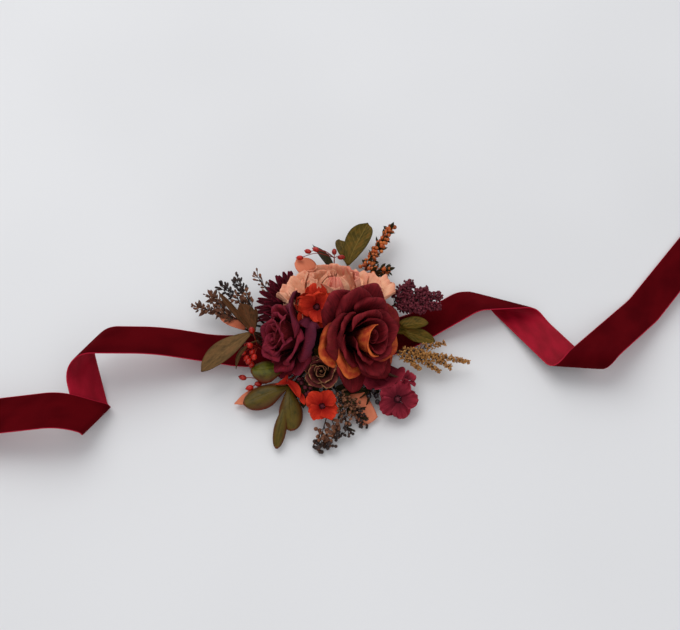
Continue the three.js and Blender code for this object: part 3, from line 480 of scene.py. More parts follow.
def petal_material(name, deep, main, rim, veins, rim_share, second=None, crinkle=1.0, fine=11, rim_from=0.82):
    """Printed fabric: painted shade darkens the base; streaked along the petal, with a rim of another colour.
    """
    g = Graph(name)
    place = g.attribute("place")
    grain = g.attribute("grain")
    along, across = g.parts(place)[:2]
    streaks = g.noise(place, 1.6, 4, 0.6, (2.2, fine, 40))
    clouds = g.noise(grain, 190, 2, stretch=(1, 1, 9))
    # Painted shade: the petal is darker towards its base, deep in the flower, and takes its main colour
    # higher up.
    base = g.span(along, 0.1, 0.98)
    colour = g.mix(base, deep, main, g.span(clouds, 0.25, 0.7, 0.55, 1.0))
    colour = g.mix(g.span(streaks, 0.42, 0.68), colour, deep, veins)
    # Rim colour: the petal's own, and where lighter, as on the rust rose, partly a painted highlight on
    # rolled edges
    side = g.span(g.maths("ABSOLUTE", across), rim_from - 0.1, 1.0)
    edge = g.maths("MAXIMUM", g.span(along, rim_from, 1.0), g.times(side, base))
    edge = g.times(edge, g.span(clouds, 0.3, 0.65, 0.3, 1.0))
    colour = g.mix(edge, colour, rim, rim_share)
    if second:
        tone = g.attribute("tone", "Fac")
        patchy = g.span(g.maths("ADD", tone, g.times(streaks, 0.5)), 0.45, 1.05)
        light = g.maths("MAXIMUM", edge, g.span(clouds, 0.35, 0.75))
        colour = g.mix(patchy, colour, g.mix(light, *second))
    normal = g.bump(g.weave(grain, 900, 900), 0.25, WEAVE)
    normal = g.bump(streaks, 0.5 * crinkle, VEIN, normal)
    normal = g.bump(clouds, 0.5 * crinkle, CRUMPLE, normal)
    roughness = g.span(streaks, 0.3, 0.7, 0.62, 0.82)
    g.finish(colour, roughness, normal, Sheen_Weight=0.06, Sheen_Tint=rim, Specular_IOR_Level=0.1)


def leaf_material(name, deep, main, rib, second, gloss, patches=0.5, veins=0.2, rim=None, shine=0.06,
                  mottle=0.35, halo=0.0):
    """A leaf: midrib and side veins, patches of a second colour, and a rim of its own colour."""
    g = Graph(name)
    place = g.attribute("place")
    along, across = g.parts(place)[:2]
    width = g.maths("ABSOLUTE", across)
    fan = g.maths("SUBTRACT", along, g.times(width, 0.28))
    ribs = g.maths("POWER", g.maths("ABSOLUTE", g.maths("SINE", g.times(fan, 26))), 9)
    clouds = g.noise(place, 1.7, 4, 0.62, (3.5, 1.6, 30))
    fine = g.noise(place, 1.7, 3, 0.6, (30, 12, 30))
    colour = g.mix(g.span(clouds, 0.3, 0.7), deep, main)
    tone = g.attribute("tone", "Fac")
    colour = g.mix(g.span(g.maths("ADD", clouds, tone), 0.45, 0.85), colour, second, patches)
    colour = g.mix(g.span(width, 0.3, 0.95, 0.0, halo), colour, second)
    colour = g.mix(ribs, colour, rib, veins)
    colour = g.mix(g.span(width, 0.0, 0.07, 3 * min(veins, 0.2), 0.0), colour, rib)
    colour = g.mix(g.span(fine, 0.4, 0.7), colour, deep, mottle)
    edge = g.maths("MAXIMUM", g.span(width, 0.78, 0.98), g.span(along, 0.93, 1.0))
    colour = g.mix(edge, colour, rim or deep, 0.9 if rim else 0.55)
    height = g.maths("SUBTRACT", g.span(width, 0, 0.1), g.times(ribs, 2 * veins))
    normal = g.bump(clouds, 0.35, CRUMPLE, g.bump(height, 0.5, VEIN))
    roughness = g.span(fine, 0.3, 0.7, gloss * 0.85, gloss * 1.2)
    g.finish(colour, roughness, normal, Specular_IOR_Level=shine)


def grain_material(name, deep, main, light, roughness, scale=2600, coat=0.0, bump=0.4):
    """Buds, seeds, berries, stems and twigs: mottled, each with a tint of its own."""
    g = Graph(name)
    place = g.attribute("place")
    specks = g.noise(g.attribute("grain"), scale, 2)
    own = g.noise(place, 37, 0, stretch=(0, 0, 1))
    colour = g.mix(g.span(own, 0.3, 0.7), deep, main)
    colour = g.mix(g.span(specks, 0.45, 0.7), colour, light, 0.6)
    colour = g.mix(g.span(g.parts(place)[0], 0.0, 0.35, 0.6, 0.0), colour, deep)
    colour = g.mix(g.attribute("tone", "Fac"), colour, light)
    rough = g.span(specks, 0.3, 0.7, roughness * 0.85, min(1.0, roughness * 1.15))
    g.finish(colour, rough, g.bump(specks, bump, VEIN), Coat_Weight=coat, Coat_Roughness=0.15,
             Specular_IOR_Level=0.2)


def velvet_material():
    g = Graph("velvet")
    grain = g.attribute("grain")
    pile = g.noise(grain, 5200, 3, 0.7)
    nap = g.noise(grain, 42, 2, stretch=(1, 1.4, 1))
    width = g.maths("ABSOLUTE", g.parts(g.attribute("place"))[1])
    colour = g.mix(g.span(nap, 0.3, 0.72), (72, 3, 9), (90, 6, 13))
    colour = g.mix(g.span(pile, 0.35, 0.75), colour, (52, 0, 4), 0.45)
    colour = g.mix(g.span(width, 0.955, 0.985), colour, (168, 30, 52))
    g.finish(colour, 0.95, g.bump(pile, 0.7, WEAVE), Specular_IOR_Level=0.02, Sheen_Weight=0.4,
             Sheen_Roughness=0.3, Sheen_Tint=(190, 26, 44))


def ribbon_back_material():
    g = Graph("ribbon_back")
    grain = g.attribute("grain")
    ribs = g.weave(grain, 800, 1100)
    haze = g.noise(grain, 70, stretch=(1, 2, 1))
    width = g.maths("ABSOLUTE", g.parts(g.attribute("place"))[1])
    colour = g.mix(g.span(haze, 0.3, 0.7), (132, 8, 28), (158, 14, 38))
    colour = g.mix(ribs, colour, (174, 24, 48), 0.25)
    colour = g.mix(g.span(width, 0.94, 0.98), colour, (182, 26, 52))
    g.finish(colour, 0.6, g.bump(ribs, 0.5, WEAVE), Specular_IOR_Level=0.1, Sheen_Weight=0.12,
             Sheen_Tint=(190, 26, 44))


def felt_material():
    g = Graph("felt")
    spot = g.spot()
    fibres = g.noise(spot, 2200, 4, 0.7, (1, 1, 3))
    colour = g.mix(g.span(g.noise(spot, 140), 0.3, 0.7), (62, 20, 26), (88, 32, 38))
    colour = g.mix(g.span(fibres, 0.5, 0.75), colour, (124, 62, 66), 0.5)
    g.finish(colour, 0.95, g.bump(fibres, 0.8, VEIN), Sheen_Weight=0.4)


# Painted shade: the glue is dark brown-green, like the shaded gaps between the flowers where it shows.
def glue_material():
    g = Graph("glue")
    spot = g.spot()
    lumps = g.noise(spot, 320)
    fine = g.noise(spot, 1700)
    colour = g.mix(g.span(lumps, 0.3, 0.7), (24, 22, 14), (48, 40, 26))
    colour = g.mix(g.span(fine, 0.5, 0.8), colour, (84, 66, 40), 0.5)
    normal = g.bump(fine, 0.4, VEIN, g.bump(lumps, 0.8, CRUMPLE))
    g.finish(colour, g.span(fine, 0.3, 0.7, 0.35, 0.7), normal)


def floor_material():
    g = Graph("floor")
    spot = g.spot()
    colour = g.mix(g.span(g.noise(spot, 3, 2), 0.3, 0.7), (224, 224, 225), (230, 230, 231))
    g.finish(colour, 0.7, g.bump(g.noise(spot, 400), 0.05, CRUMPLE), Specular_IOR_Level=0.2)


velvet_material()
ribbon_back_material()
felt_material()
glue_material()
floor_material()

# Petals: the colours at the base, darker as painted shade, over the petal and at the rim, which where lighter
# is partly a painted highlight; how strong the veins and the rim are, and the second tone from its shade to
# its light
petal_material("rust_front", (24, 2, 6), (120, 21, 29), (154, 46, 52), 0.45, 0.4,
               ((170, 52, 32), (226, 116, 54)), rim_from=0.84)
petal_material("rust_reverse", (50, 7, 12), (122, 27, 33), (156, 52, 54), 0.45, 0.4,
               ((176, 56, 36), (222, 108, 52)), rim_from=0.84)
petal_material("plum_front", (32, 5, 14), (136, 28, 40), (132, 44, 70), 0.5, 0.4,
               ((96, 28, 46), (74, 21, 40)))
petal_material("plum_reverse", (52, 9, 16), (140, 36, 42), (136, 50, 64), 0.5, 0.45,
               ((100, 30, 48), (76, 22, 42)))
petal_material("peach_front", (232, 158, 124), (252, 204, 168), (224, 124, 98), 0.4, 0.7,
               ((240, 160, 136), (230, 134, 114)), 2.6, 36)
petal_material("peach_reverse", (230, 154, 120), (250, 198, 162), (222, 122, 96), 0.4, 0.65,
               ((240, 156, 134), (228, 126, 108)), 2.6, 36)
petal_material("dahlia_front", (30, 3, 8), (84, 12, 26), (124, 28, 48), 0.4, 0.6)
petal_material("mauve_front", (42, 11, 14), (118, 50, 48), (204, 154, 104), 0.4, 0.9, rim_from=0.94)
petal_material("mauve_reverse", (70, 28, 26), (132, 68, 60), (196, 146, 96), 0.4, 0.9, rim_from=0.95)
petal_material("vermilion_front", (150, 20, 14), (212, 56, 32), (228, 80, 48), 0.5, 0.35,
               ((60, 10, 12), (34, 8, 10)))
petal_material("wine_front", (84, 12, 26), (158, 42, 58), (180, 66, 82), 0.5, 0.4, ((50, 6, 16), (34, 4, 10)))
petal_material("leaf_peach", (194, 102, 72), (228, 138, 104), (216, 118, 88), 0.3, 0.4)

# Leaves: the deep and the main colour, the ribs, the second colour and the roughness
leaf_material("calyx_green", (20, 28, 10), (38, 46, 18), (60, 62, 28), (48, 34, 18), 0.6)
leaf_material("leaf_green", (62, 52, 14), (98, 78, 24), (134, 108, 50), (112, 62, 24), 0.5, 0.7, mottle=0.15)
leaf_material("leaf_bronze", (78, 58, 34), (116, 86, 50), (140, 104, 62), (108, 62, 44), 0.55, veins=0.12)
leaf_material("leaf_brown", (52, 36, 18), (90, 64, 32), (116, 82, 44), (98, 44, 28), 0.5, veins=0.1)
leaf_material("leaf_fleshy", (54, 54, 12), (102, 100, 22), (112, 108, 40), (82, 42, 20), 0.34, 0.55, 0.02,
              rim=(104, 36, 18), shine=0.14, mottle=0.06, halo=0.85)
leaf_material("leaf_dark", (28, 26, 12), (54, 50, 24), (76, 68, 38), (70, 22, 22), 0.5, 0.7)

# Grainy things: the deep, the main and the light colour, the roughness and how fine the grain is
grain_material("green_stem", (30, 32, 14), (52, 54, 24), (80, 74, 36), 0.6)
grain_material("brown_stem", (38, 22, 16), (66, 40, 28), (112, 76, 48), 0.7)
grain_material("red_stem", (96, 18, 14), (140, 34, 24), (164, 64, 42), 0.5)
grain_material("orange_bud", (112, 36, 14), (196, 84, 32), (228, 134, 66), 0.5, 1500, coat=0.1)
grain_material("red_berry", (130, 12, 8), (188, 30, 18), (206, 60, 40), 0.35, 900, coat=0.2, bump=0.15)
grain_material("dark_berry", (42, 8, 16), (94, 24, 38), (140, 58, 70), 0.55, 1900)
grain_material("black_berry", (12, 8, 12), (34, 20, 24), (64, 48, 52), 0.35, 900, coat=0.3, bump=0.2)
grain_material("gold_seed", (84, 44, 20), (180, 112, 52), (232, 178, 104), 0.6)
grain_material("brown_seed", (44, 24, 18), (104, 60, 42), (166, 112, 80), 0.65, 2200)
grain_material("black_seed", (16, 10, 10), (40, 26, 24), (82, 58, 48), 0.5, 1800, coat=0.1)


# Stems, rooted in the glue as in the solids

GLUE_BOTTOM = FELT_THICKNESS + RIBBON_THICKNESS + COVER_THICKNESS
GLUE_LENGTH = PAD_LENGTH - 2 * GLUE_MARGIN
GLUE_WIDTH = PAD_WIDTH - 2 * GLUE_MARGIN


def stem(shape, base, depth, radius=STEM_RADIUS, along=STEM_OUT, kind=1):
    side = atan2(base[1] / GLUE_WIDTH, base[0] / GLUE_LENGTH)
    away = vec(GLUE_LENGTH / 2 * cos(side), GLUE_WIDTH / 2 * sin(side), 0)
    root = away * along + vec(0, 0, GLUE_BOTTOM + depth * STEM_DEPTH * GLUE_HEIGHT)
    middle = root + (base - root) * STEM_BEND
    middle[2] = min(middle[2], root[2] + STEM_RISE * GLUE_HEIGHT)
    wire(shape, [root, middle, base], radius, sides=6, steps=8, kind=kind)


# Flowers: where the foot is, which way the flower faces, and its spin in degrees
FLOWER_SHARES = dict(
    rust_rose=((0.12, -0.05, 0.23), (0.66, -0.44, 0.61), 0),
    plum_rose=((-0.18, -0.085, 0.21), (-0.84, -0.2, 0.5), 20),
    peach_rose=((0.04, 0.13, 0.19), (0, 0.52, 0.85), 10),
    mini_rose=((-0.05, -0.31, 0.165), (-0.1, -0.5, 0.86), 30),
    dahlia=((-0.25, 0.24, 0.13), (-0.4, 0.15, 0.9), 0),
    red_floret_upper=((-0.085, 0.04, 0.43), (-0.1, -0.45, 0.88), 20),
    red_floret_lower=((-0.05, -0.55, 0.1), (0, -0.3, 0.95), 50),
    wine_floret=((0.465, -0.495, 0.1), (0.15, -0.35, 0.92), 0),
    wine_floret_back=((0.52, -0.36, 0.13), (0.5, 0.1, 0.85), 30),
)


def flower_frame(name):
    base, facing, spin = FLOWER_SHARES[name]
    return facing_frame(at(base), facing, spin)


def arc_path(length, heading, arcs):
    """Arcs end to end: each takes a share of the length and turns by an angle."""
    def follow(s):
        x, z, angle = np.zeros_like(s), np.zeros_like(s), np.full_like(s, heading)
        left = s * length
        for i, (share, turn) in enumerate(arcs):
            full = share * length
            run = left if i == len(arcs) - 1 else np.minimum(left, full)
            bend = radians(turn) * run / full
            chord = run * np.sinc(bend / (2 * pi))
            x = x + chord * np.cos(angle + bend / 2)
            z = z + chord * np.sin(angle + bend / 2)
            angle = angle + bend
            left = left - run
        return x, z, angle
    return follow


def outline(s, form, swell=1.0, fall=1.0):
    """The half width along a petal or leaf: from its waist it widens to its peak, and narrows to its tip."""
    rising = np.sin(pi / 2 * np.minimum(s, form.peak) / form.peak) ** swell
    rising = form.waist + (1 - form.waist) * rising
    beyond = np.maximum((s - form.peak) / (1 - form.peak), 0)
    falling = (1 - (1 - form.tip) * beyond ** 2.2) ** fall
    return np.where(s < form.peak, rising, falling)


# What a row of petals has where its own line says nothing else. curl bends the side edges back, lap lifts
# one edge over the next petal, ruffle waves the rim, and roll turns the upper corners back from a height
# and by an angle. tones says how much of the second colour each petal shows.
ROW = dict(
    start=0, claw=1.12, wrap=1.35, waist=0.8, peak=0.7, tip=0.86, round=0.16, pointed=2.2, curl=0.1, lap=0.09,
    wobble=0.05, ruffle=0.03, waves=5, crease=0.0, tones=(0.0,), lift=0.0, along=26, across=24,
    roll=(1.0, 0.0), places=None, sizes=(1.0,), shift=(0.0, 0.0), crumple=0.02,
)


def row(count, ring, length, half, lean, arcs, style=(), **changes):
    """A row of petals. Its foot, and a petal's length and half width, are shares of the flower's radius."""
    own = dict(count=count, ring=ring, length=length, half=half, lean=lean, arcs=arcs)
    return SimpleNamespace(**{**ROW, **dict(style), **own, **changes})


def corners_rolled(u, v, length, half, low, bend):
    """The flat petal with its two upper corners rolled back: how far along, across and back each point is."""
    back = np.zeros_like(u)
    radius = CORNER_ROLL * half
    for side, slip in ((1, 0.0), (-1, CORNER_SLIP)):
        drop = length * (1 - low - slip)
        reach = hypot(half, drop)
        beyond = ((u - length) * half + side * v * drop) / reach
        turn = np.clip(beyond / radius, 0, bend)
        rest = beyond - radius * turn
        level = radius * np.sin(turn) + rest * np.cos(turn)
        shift = np.where(beyond > 0, level - beyond, 0)
        u = u + shift * half / reach
        v = v + side * shift * drop / reach
        back = back + np.where(beyond > 0, radius * (1 - np.cos(turn)) + rest * np.sin(turn), 0)
    return u, v, back


def petal(form, index, radius):
    seed = form.start + 2.4 * index

    def wobble(rate):
        return form.wobble * sin(rate * seed)

    around = form.places[index] if form.places else form.start + index * 360 / form.count
    start = radians(around + WOBBLE_DEGREES * wobble(3.1))
    scale = radius * form.sizes[index % len(form.sizes)]
    length = form.length * scale * (1 + wobble(1))
    half_width = form.half * scale
    heading = radians(90 - form.lean + WOBBLE_DEGREES * wobble(2.3))
    path = arc_path(length, heading, form.arcs)
    low = form.roll[0] + wobble(5.3)
    bend = radians(form.roll[1] * (1 + 2 * wobble(1.7)))

    def place(s, t):
        half = half_width * outline(s, form)
        u, v, rolled_back = length * s * (1 - form.round * np.abs(t) ** form.pointed), half * t, 0
        if bend:
            u, v, rolled_back = corners_rolled(u, v, length, half_width, low, bend)
        x, z, angle = path(u / length)
        spread = form.claw + (form.wrap - form.claw) * np.clip(2 * s, 0, 1)
        wrap = pi / form.count * spread
        turn = start + v / half * np.minimum(wrap, half / (form.ring * radius + np.maximum(path(s)[0], 0)))
        lift = form.lap * t * np.clip(3 * s - 0.15, 0, 1)
        curl = form.curl * s ** 1.5 * np.abs(t) ** 3.5
        wave = np.sin(form.waves * t + 4 * seed) + 0.5 * np.sin(2.3 * form.waves * t + seed)
        crease = form.crease * np.abs(t) * s * (1 - s * 0.5)
        dent = np.sin(5 * s + 3 * t + seed) + np.sin(9 * t + 4 * s - seed) * np.sin(8 * s - 3 * t + 2 * seed)
        back = half_width * (lift + curl + form.ruffle * wave * s ** 3 - crease + form.crumple * dent * s)
        back = back + rolled_back
        out = form.ring * radius + x + back * np.sin(angle)
        up = form.lift * radius + z - back * np.cos(angle)
        return np.stack([out * np.cos(turn), out * np.sin(turn), up], -1) + vec(*form.shift, 0) * radius
    return place, (length, half_width)


def crowded(place, placing):
    """Whether a petal would lie mostly inside the flowers made before it."""
    s, t = np.meshgrid(np.linspace(0.1, 1, 8), np.linspace(-0.9, 0.9, 7), indexing="ij")
    points = in_frame(place(s, t), placing)
    moved = np.linalg.norm(pressed(points) - points, axis=-1) > PRESS_GAP
    return moved.mean() > MOSTLY


def keep_room(placing, form, radius, height, gap=PRESS_GAP):
    """The cup of a flower's outer row becomes a room that later sheets stay out of."""
    path = arc_path(form.length * radius, radians(90 - form.lean), form.arcs)
    x, z, angle = path(np.linspace(0, 1, 12))
    out = np.maximum.accumulate(form.ring * radius + x + gap * np.sin(angle))
    up = form.lift * radius + z - gap * np.cos(angle)
    widest = int(out.argmax()) + 1
    top = max(up.max() + gap, height * radius)
    cup = [(0, -gap), *zip(out[:widest], up[:widest]), (out[widest - 1] + gap / 10, top)]
    ROOMS.append((placing, np.array(cup)))


def petal_row(shape, form, radius, placing):
    for i in range(len(form.places or range(form.count))):
        place, size = petal(form, i, radius)
        if crowded(place, placing):
            continue
        amount = form.tones[i % len(form.tones)]
        tone = (lambda s, t, amount=amount: amount * smooth(0.15, 0.9, s + 0.3 * t))
        sheet(shape, place, PETAL_THICKNESS, (form.along, form.across), size, placing, tone)


def calyx(name, radius, depth, along, sepals=5, stem_radius=2 * STEM_RADIUS):
    shape = Shape()
    turn, base = flower_frame(name)
    lathe(shape, base, turn[2], radius, BOWL, sides=20)
    form = row(sepals, 0.3, 0.36, 0.1, 24, [(0.5, -30), (0.5, 10)], waist=0.7, peak=0.3, tip=0.12, round=0.0,
               lift=-0.05, crease=0.5)
    for i in range(sepals):
        place, size = petal(form, i, radius)
        sheet(shape, place, LEAF_THICKNESS, SEPAL_GRID, size, (turn, base), back=0)
    stem(shape, base - turn[2] * radius * CALYX_FOOT, depth, stem_radius, along, kind=0)
    shape.piece(name + "_sepals", ["calyx_green"], [name + "_calyx"])


def flower(name, rows, radius, looks, slot, height, gap=PRESS_GAP, depth=0.3, along=0.3, kind="petals",
           **calyx_form):
    """A flower of whole rows of petals, in groups that are each a piece."""
    placing = flower_frame(name)
    for part, forms in rows.items():
        shape = Shape()
        for form in forms:
            petal_row(shape, form, radius, placing)
        shape.piece(f"{name}_{part}", looks, [f"{name}_{part}_{kind}"])
    calyx(name, radius, depth, along, **calyx_form)
    keep_room(placing, rows["outer"][-1], radius, height, gap)


HEART = dict(
    curl=0.02, ruffle=0.02, round=0.08, lap=0.16, wobble=0.03, claw=1.5, wrap=1.7, along=16, across=14)
RUST_HEART = dict(HEART, shift=(0.12, -0.02))
RUST_MIDDLE = dict(round=0.08, curl=0.05)
RUST_OUTER = dict(round=0.06, curl=0.04)
RUST_ROWS = dict(
    inner=[
        row(2, 0.03, 0.64, 0.18, 1, [(0.6, 2), (0.4, 16)], RUST_HEART, start=30),
        row(3, 0.09, 0.76, 0.3, 2, [(0.5, -2), (0.4, 4), (0.1, -25)], RUST_HEART, start=5),
        row(3, 0.17, 0.92, 0.52, 6, [(0.5, -8), (0.35, 8), (0.15, -60)], HEART, places=(182, 292, 45),
            tones=(1.0, 0.1, 0), pointed=1.6, along=26, across=24, roll=(0.84, 60), shift=(0.1, -0.02),
            sizes=(1.18, 1, 1)),
    ],
    middle=[
        row(4, 0.23, 1.0, 0.5, 7, [(0.6, -18), (0.25, 2), (0.15, -50)], RUST_MIDDLE,
            places=(105, 238, 320, 20), lap=0.12, roll=(0.7, 105), shift=(0.07, -0.01), sizes=(1, 0.9, 1, 1)),
        row(5, 0.28, 1.04, 0.58, 10, [(0.6, -32), (0.25, -2), (0.15, -50)], RUST_MIDDLE,
            places=(70, 160, 222, 288, 345), roll=(0.64, 130), tones=(0, 0, 0, 0.1, 0.6), shift=(0.02, 0),
            sizes=(1, 0.86, 0.86, 1, 1)),
    ],
    outer=[
        row(5, 0.32, 1.08, 0.62, 14, [(0.55, -42), (0.3, -6), (0.15, -40)], RUST_OUTER,
            places=(108, 178, 240, 305, 30), roll=(0.56, 140), tones=(0, 0.25, 1.1, 0.2, 0.3),
            sizes=(1.02, 1, 0.94, 1, 1)),
        row(6, 0.36, 1.06, 0.64, 18, [(0.55, -54), (0.3, -8), (0.15, -40)], RUST_OUTER,
            places=(68, 130, 196, 262, 330, 10), roll=(0.54, 145), wobble=0.06,
            tones=(0, 0, 1.1, 0.2, 0.9, 0.2)),
    ],
)
PLUM_HEART = dict(HEART, shift=(-0.06, 0.06))
PLUM_MIDDLE = dict(round=0.1, curl=0.05)
PLUM_OUTER = dict(round=0.08, curl=0.04)
PLUM_ROWS = dict(
    inner=[
        row(2, 0.02, 0.84, 0.16, 1, [(0.6, 2), (0.4, 18)], PLUM_HEART, start=10),
        row(3, 0.06, 0.9, 0.26, 5, [(0.5, 3), (0.4, 8), (0.1, -25)], PLUM_HEART, start=5),
        row(3, 0.12, 0.97, 0.42, 6, [(0.5, -4), (0.35, 6), (0.15, -45)], HEART, start=70, along=24, across=22,
            roll=(0.8, 70), shift=(-0.05, 0.05)),
    ],
    middle=[
        row(4, 0.18, 1.0, 0.5, 5, [(0.6, -10), (0.25, 2), (0.15, -50)], PLUM_MIDDLE, start=15, lap=0.12,
            roll=(0.7, 100), tones=(0.3, 0), shift=(-0.03, 0.03)),
        row(5, 0.23, 1.04, 0.56, 5, [(0.6, -18), (0.25, -2), (0.15, -50)], PLUM_MIDDLE, start=48,
            roll=(0.66, 125), tones=(0, 0.4)),
    ],
    outer=[
        row(5, 0.3, 1.04, 0.62, 11, [(0.55, -32), (0.3, -6), (0.15, -45)], PLUM_OUTER, roll=(0.6, 130),
            tones=(0.6, 0, 0, 0.2, 0.3), sizes=(1.06, 0.92, 1, 0.86, 0.98)),
        row(6, 0.34, 1.04, 0.64, 18, [(0.55, -52), (0.3, -8), (0.15, -45)], PLUM_OUTER, start=20, wobble=0.07,
            roll=(0.56, 140), tones=(0.7, 0, 0, 0.2, 0.4, 0.9), sizes=(1.1, 0.84, 0.92, 0.84, 0.88, 1.16)),
    ],
)
CREPE = dict(ruffle=0.07, waves=13, round=0.05, curl=0.0, crumple=0.05, tip=0.95, along=34, across=40)
CREPE_HEART = dict(CREPE, ruffle=0.06, crumple=0.03)
PEACH_ROWS = dict(
    inner=[
        row(5, 0.12, 0.78, 0.4, 9, [(0.5, 6), (0.4, 50), (0.1, 10)], {**HEART, **CREPE_HEART},
            places=(20, 95, 160, 230, 300), tones=(0.2, 0)),
    ],
    middle=[
        row(5, 0.2, 0.86, 0.7, 16, [(0.5, 18), (0.5, 50)], CREPE_HEART, places=(30, 100, 165, 228, 296),
            wrap=1.9, tones=(0.3, 0, 0, 1.0, 0)),
        row(5, 0.28, 0.9, 0.8, 26, [(0.5, 4), (0.4, 44), (0.1, -30)], CREPE_HEART, places=(38, 90, 148, 205),
            wrap=1.9, tones=(0.7, 0, 0.1, 0.3)),
    ],
    outer=[
        row(6, 0.32, 0.9, 0.8, 34, [(0.5, -20), (0.35, 26), (0.15, -40)], CREPE, places=(26, 66, 116, 168),
            tones=(0.2, 0, 0), sizes=(0.96, 0.86, 0.84, 0.94), wrap=2.0),
        row(6, 0.34, 1.0, 0.8, 30, [(0.55, -46), (0.3, 10), (0.15, -30)], CREPE, places=(28, 82, 136, 184),
            tones=(0, 0.2, 0), sizes=(1.0, 0.82, 0.84, 0.86), wrap=2.0, ruffle=0.09),
    ],
)
MINI_HEART = dict(HEART, ruffle=0.06, waves=6, along=20, across=26)
MINI_CUP = dict(round=0.05, roll=(0.85, 70), curl=0.03, ruffle=0.08, waves=8, lap=0.14, wobble=0.07)
MINI_ROWS = dict(
    inner=[
        row(2, 0.05, 0.62, 0.22, 0, [(0.6, 2), (0.4, 4)], MINI_HEART),
        row(3, 0.2, 0.8, 0.44, 4, [(0.6, 0), (0.4, -14)], MINI_HEART, start=70),
    ],
    outer=[
        row(3, 0.34, 0.92, 0.7, 10, [(0.55, -8), (0.3, -4), (0.15, -50)], MINI_CUP, start=60),
        row(4, 0.42, 1.0, 0.68, 22, [(0.55, -14), (0.3, -8), (0.15, -70)], MINI_CUP, start=20),
    ],
)
RAY = dict(
    claw=1.1, wrap=0.98, waist=0.6, peak=0.6, tip=0.22, round=0.0, lap=0.0, curl=0.0, ruffle=0.0, crease=0.9,
    along=14, across=6, crumple=0)
DAHLIA_ROWS = dict(
    inner=[
        row(6, 0.04, 0.58, 0.1, 2, [(0.5, 6), (0.5, 14)], RAY),
        row(9, 0.09, 0.68, 0.1, 6, [(0.5, -4), (0.5, 10)], RAY, start=12),
    ],
    middle=[
        row(14, 0.16, 0.76, 0.1, 12, [(0.5, -16), (0.5, 10)], RAY, start=12),
        row(18, 0.22, 0.83, 0.1, 16, [(0.5, -28), (0.5, 12)], RAY, start=30),
    ],
    outer=[
        row(21, 0.28, 0.87, 0.1, 24, [(0.5, -36), (0.5, 14)], RAY, start=4),
        row(24, 0.32, 0.9, 0.1, 34, [(0.5, -44), (0.5, 14)], RAY, start=11),
    ],
)
LOBE = dict(
    claw=0.9, wrap=1.25, waist=0.3, peak=0.72, tip=0.75, curl=0.04, lap=0.12, ruffle=0.1, waves=6, crease=0.1,
    wobble=0.06)


def floret(name, radius, lean, depth, colour, count=5, half=0.6, extra=0, **changes):
    """An open flower of five lobes or so round a dark eye with stamens, and a few extra petals within."""
    placing = flower_frame(name)
    turn, base = placing
    shape = Shape()
    style = {**LOBE, **changes}
    arcs = [(0.4, -12), (0.6, -6)]
    lobes = row(count, 0.1, 0.92, half, lean, arcs, style)
    inner = row(extra, 0.1, 0.74, half, lean - 22, arcs, style, start=30, ruffle=0.14, lift=0.05)
    eye = (lambda s, t: smooth(0.26, 0.06, s) * 1.2 - 0.3)
    for form in (lobes, inner):
        for i in range(form.count):
            place, size = petal(form, i, radius)
            sheet(shape, place, PETAL_THICKNESS, FLORET_GRID, size, placing, eye, back=0)
    lathe(shape, base, turn[2], radius * EYE, BALL, kind=1)
    for k in range(STAMENS):
        angle = radians(GOLDEN_ANGLE * k)
        out = turn[0] * cos(angle) + turn[1] * sin(angle)
        foot = base + out * radius * STAMEN_FOOT
        tip = foot + (turn[2] + out * STAMEN_LEAN) * radius * STAMEN_HEIGHT
        wire(shape, [foot, tip], TWIG_RADIUS)
        lathe(shape, tip, turn[2], TWIG_RADIUS * 1.2, BALL, sides=6, kind=1)
    stem(shape, base, depth, kind=2)
    shape.piece(name + "_petals", [colour + "_front", "dark_berry", "brown_stem"], [name])
    keep_room(placing, lobes, radius, 1.2)


# Leaves. A domed leaf is thick and fleshy.
LEAF = dict(waist=0.16, peak=0.55, tip=0.1, swell=1.0, fall=1.0, round=0.02, sag=22, cup=0.25, thick=1.0,
            tone=0.0, keel=1.5, blunt=False)
LEAF_STYLES = dict(
    plain={},
    dome=dict(thick=3.0, cup=-0.4, peak=0.6, tip=0.03, waist=0.12, swell=1.5, fall=0.5, keel=2.4, blunt=True),
    flat=dict(waist=0.3, peak=0.65, tip=0.6, round=0.12, sag=10, cup=0.05),
    petal=dict(waist=0.3, peak=0.5, tip=0.3, round=0.1, sag=30, cup=0.5),
)
LEAF_LOOKS = dict(
    bronze=("leaf_bronze", "brown_stem", "bronze_leaf"),
    brown=("leaf_brown", "brown_stem", "bronze_leaf"),
    green=("leaf_green", "green_stem", "green_leaf"),
    fleshy=("leaf_fleshy", "green_stem", "green_leaf"),
    dark=("leaf_dark", "green_stem", "dark_leaf"),
    peach=("leaf_peach", "brown_stem", "peach_leaf"),
    vermilion=("vermilion_front", "red_stem", "vermilion_petal"),
    wine=("wine_front", "brown_stem", "wine_petal"),
)
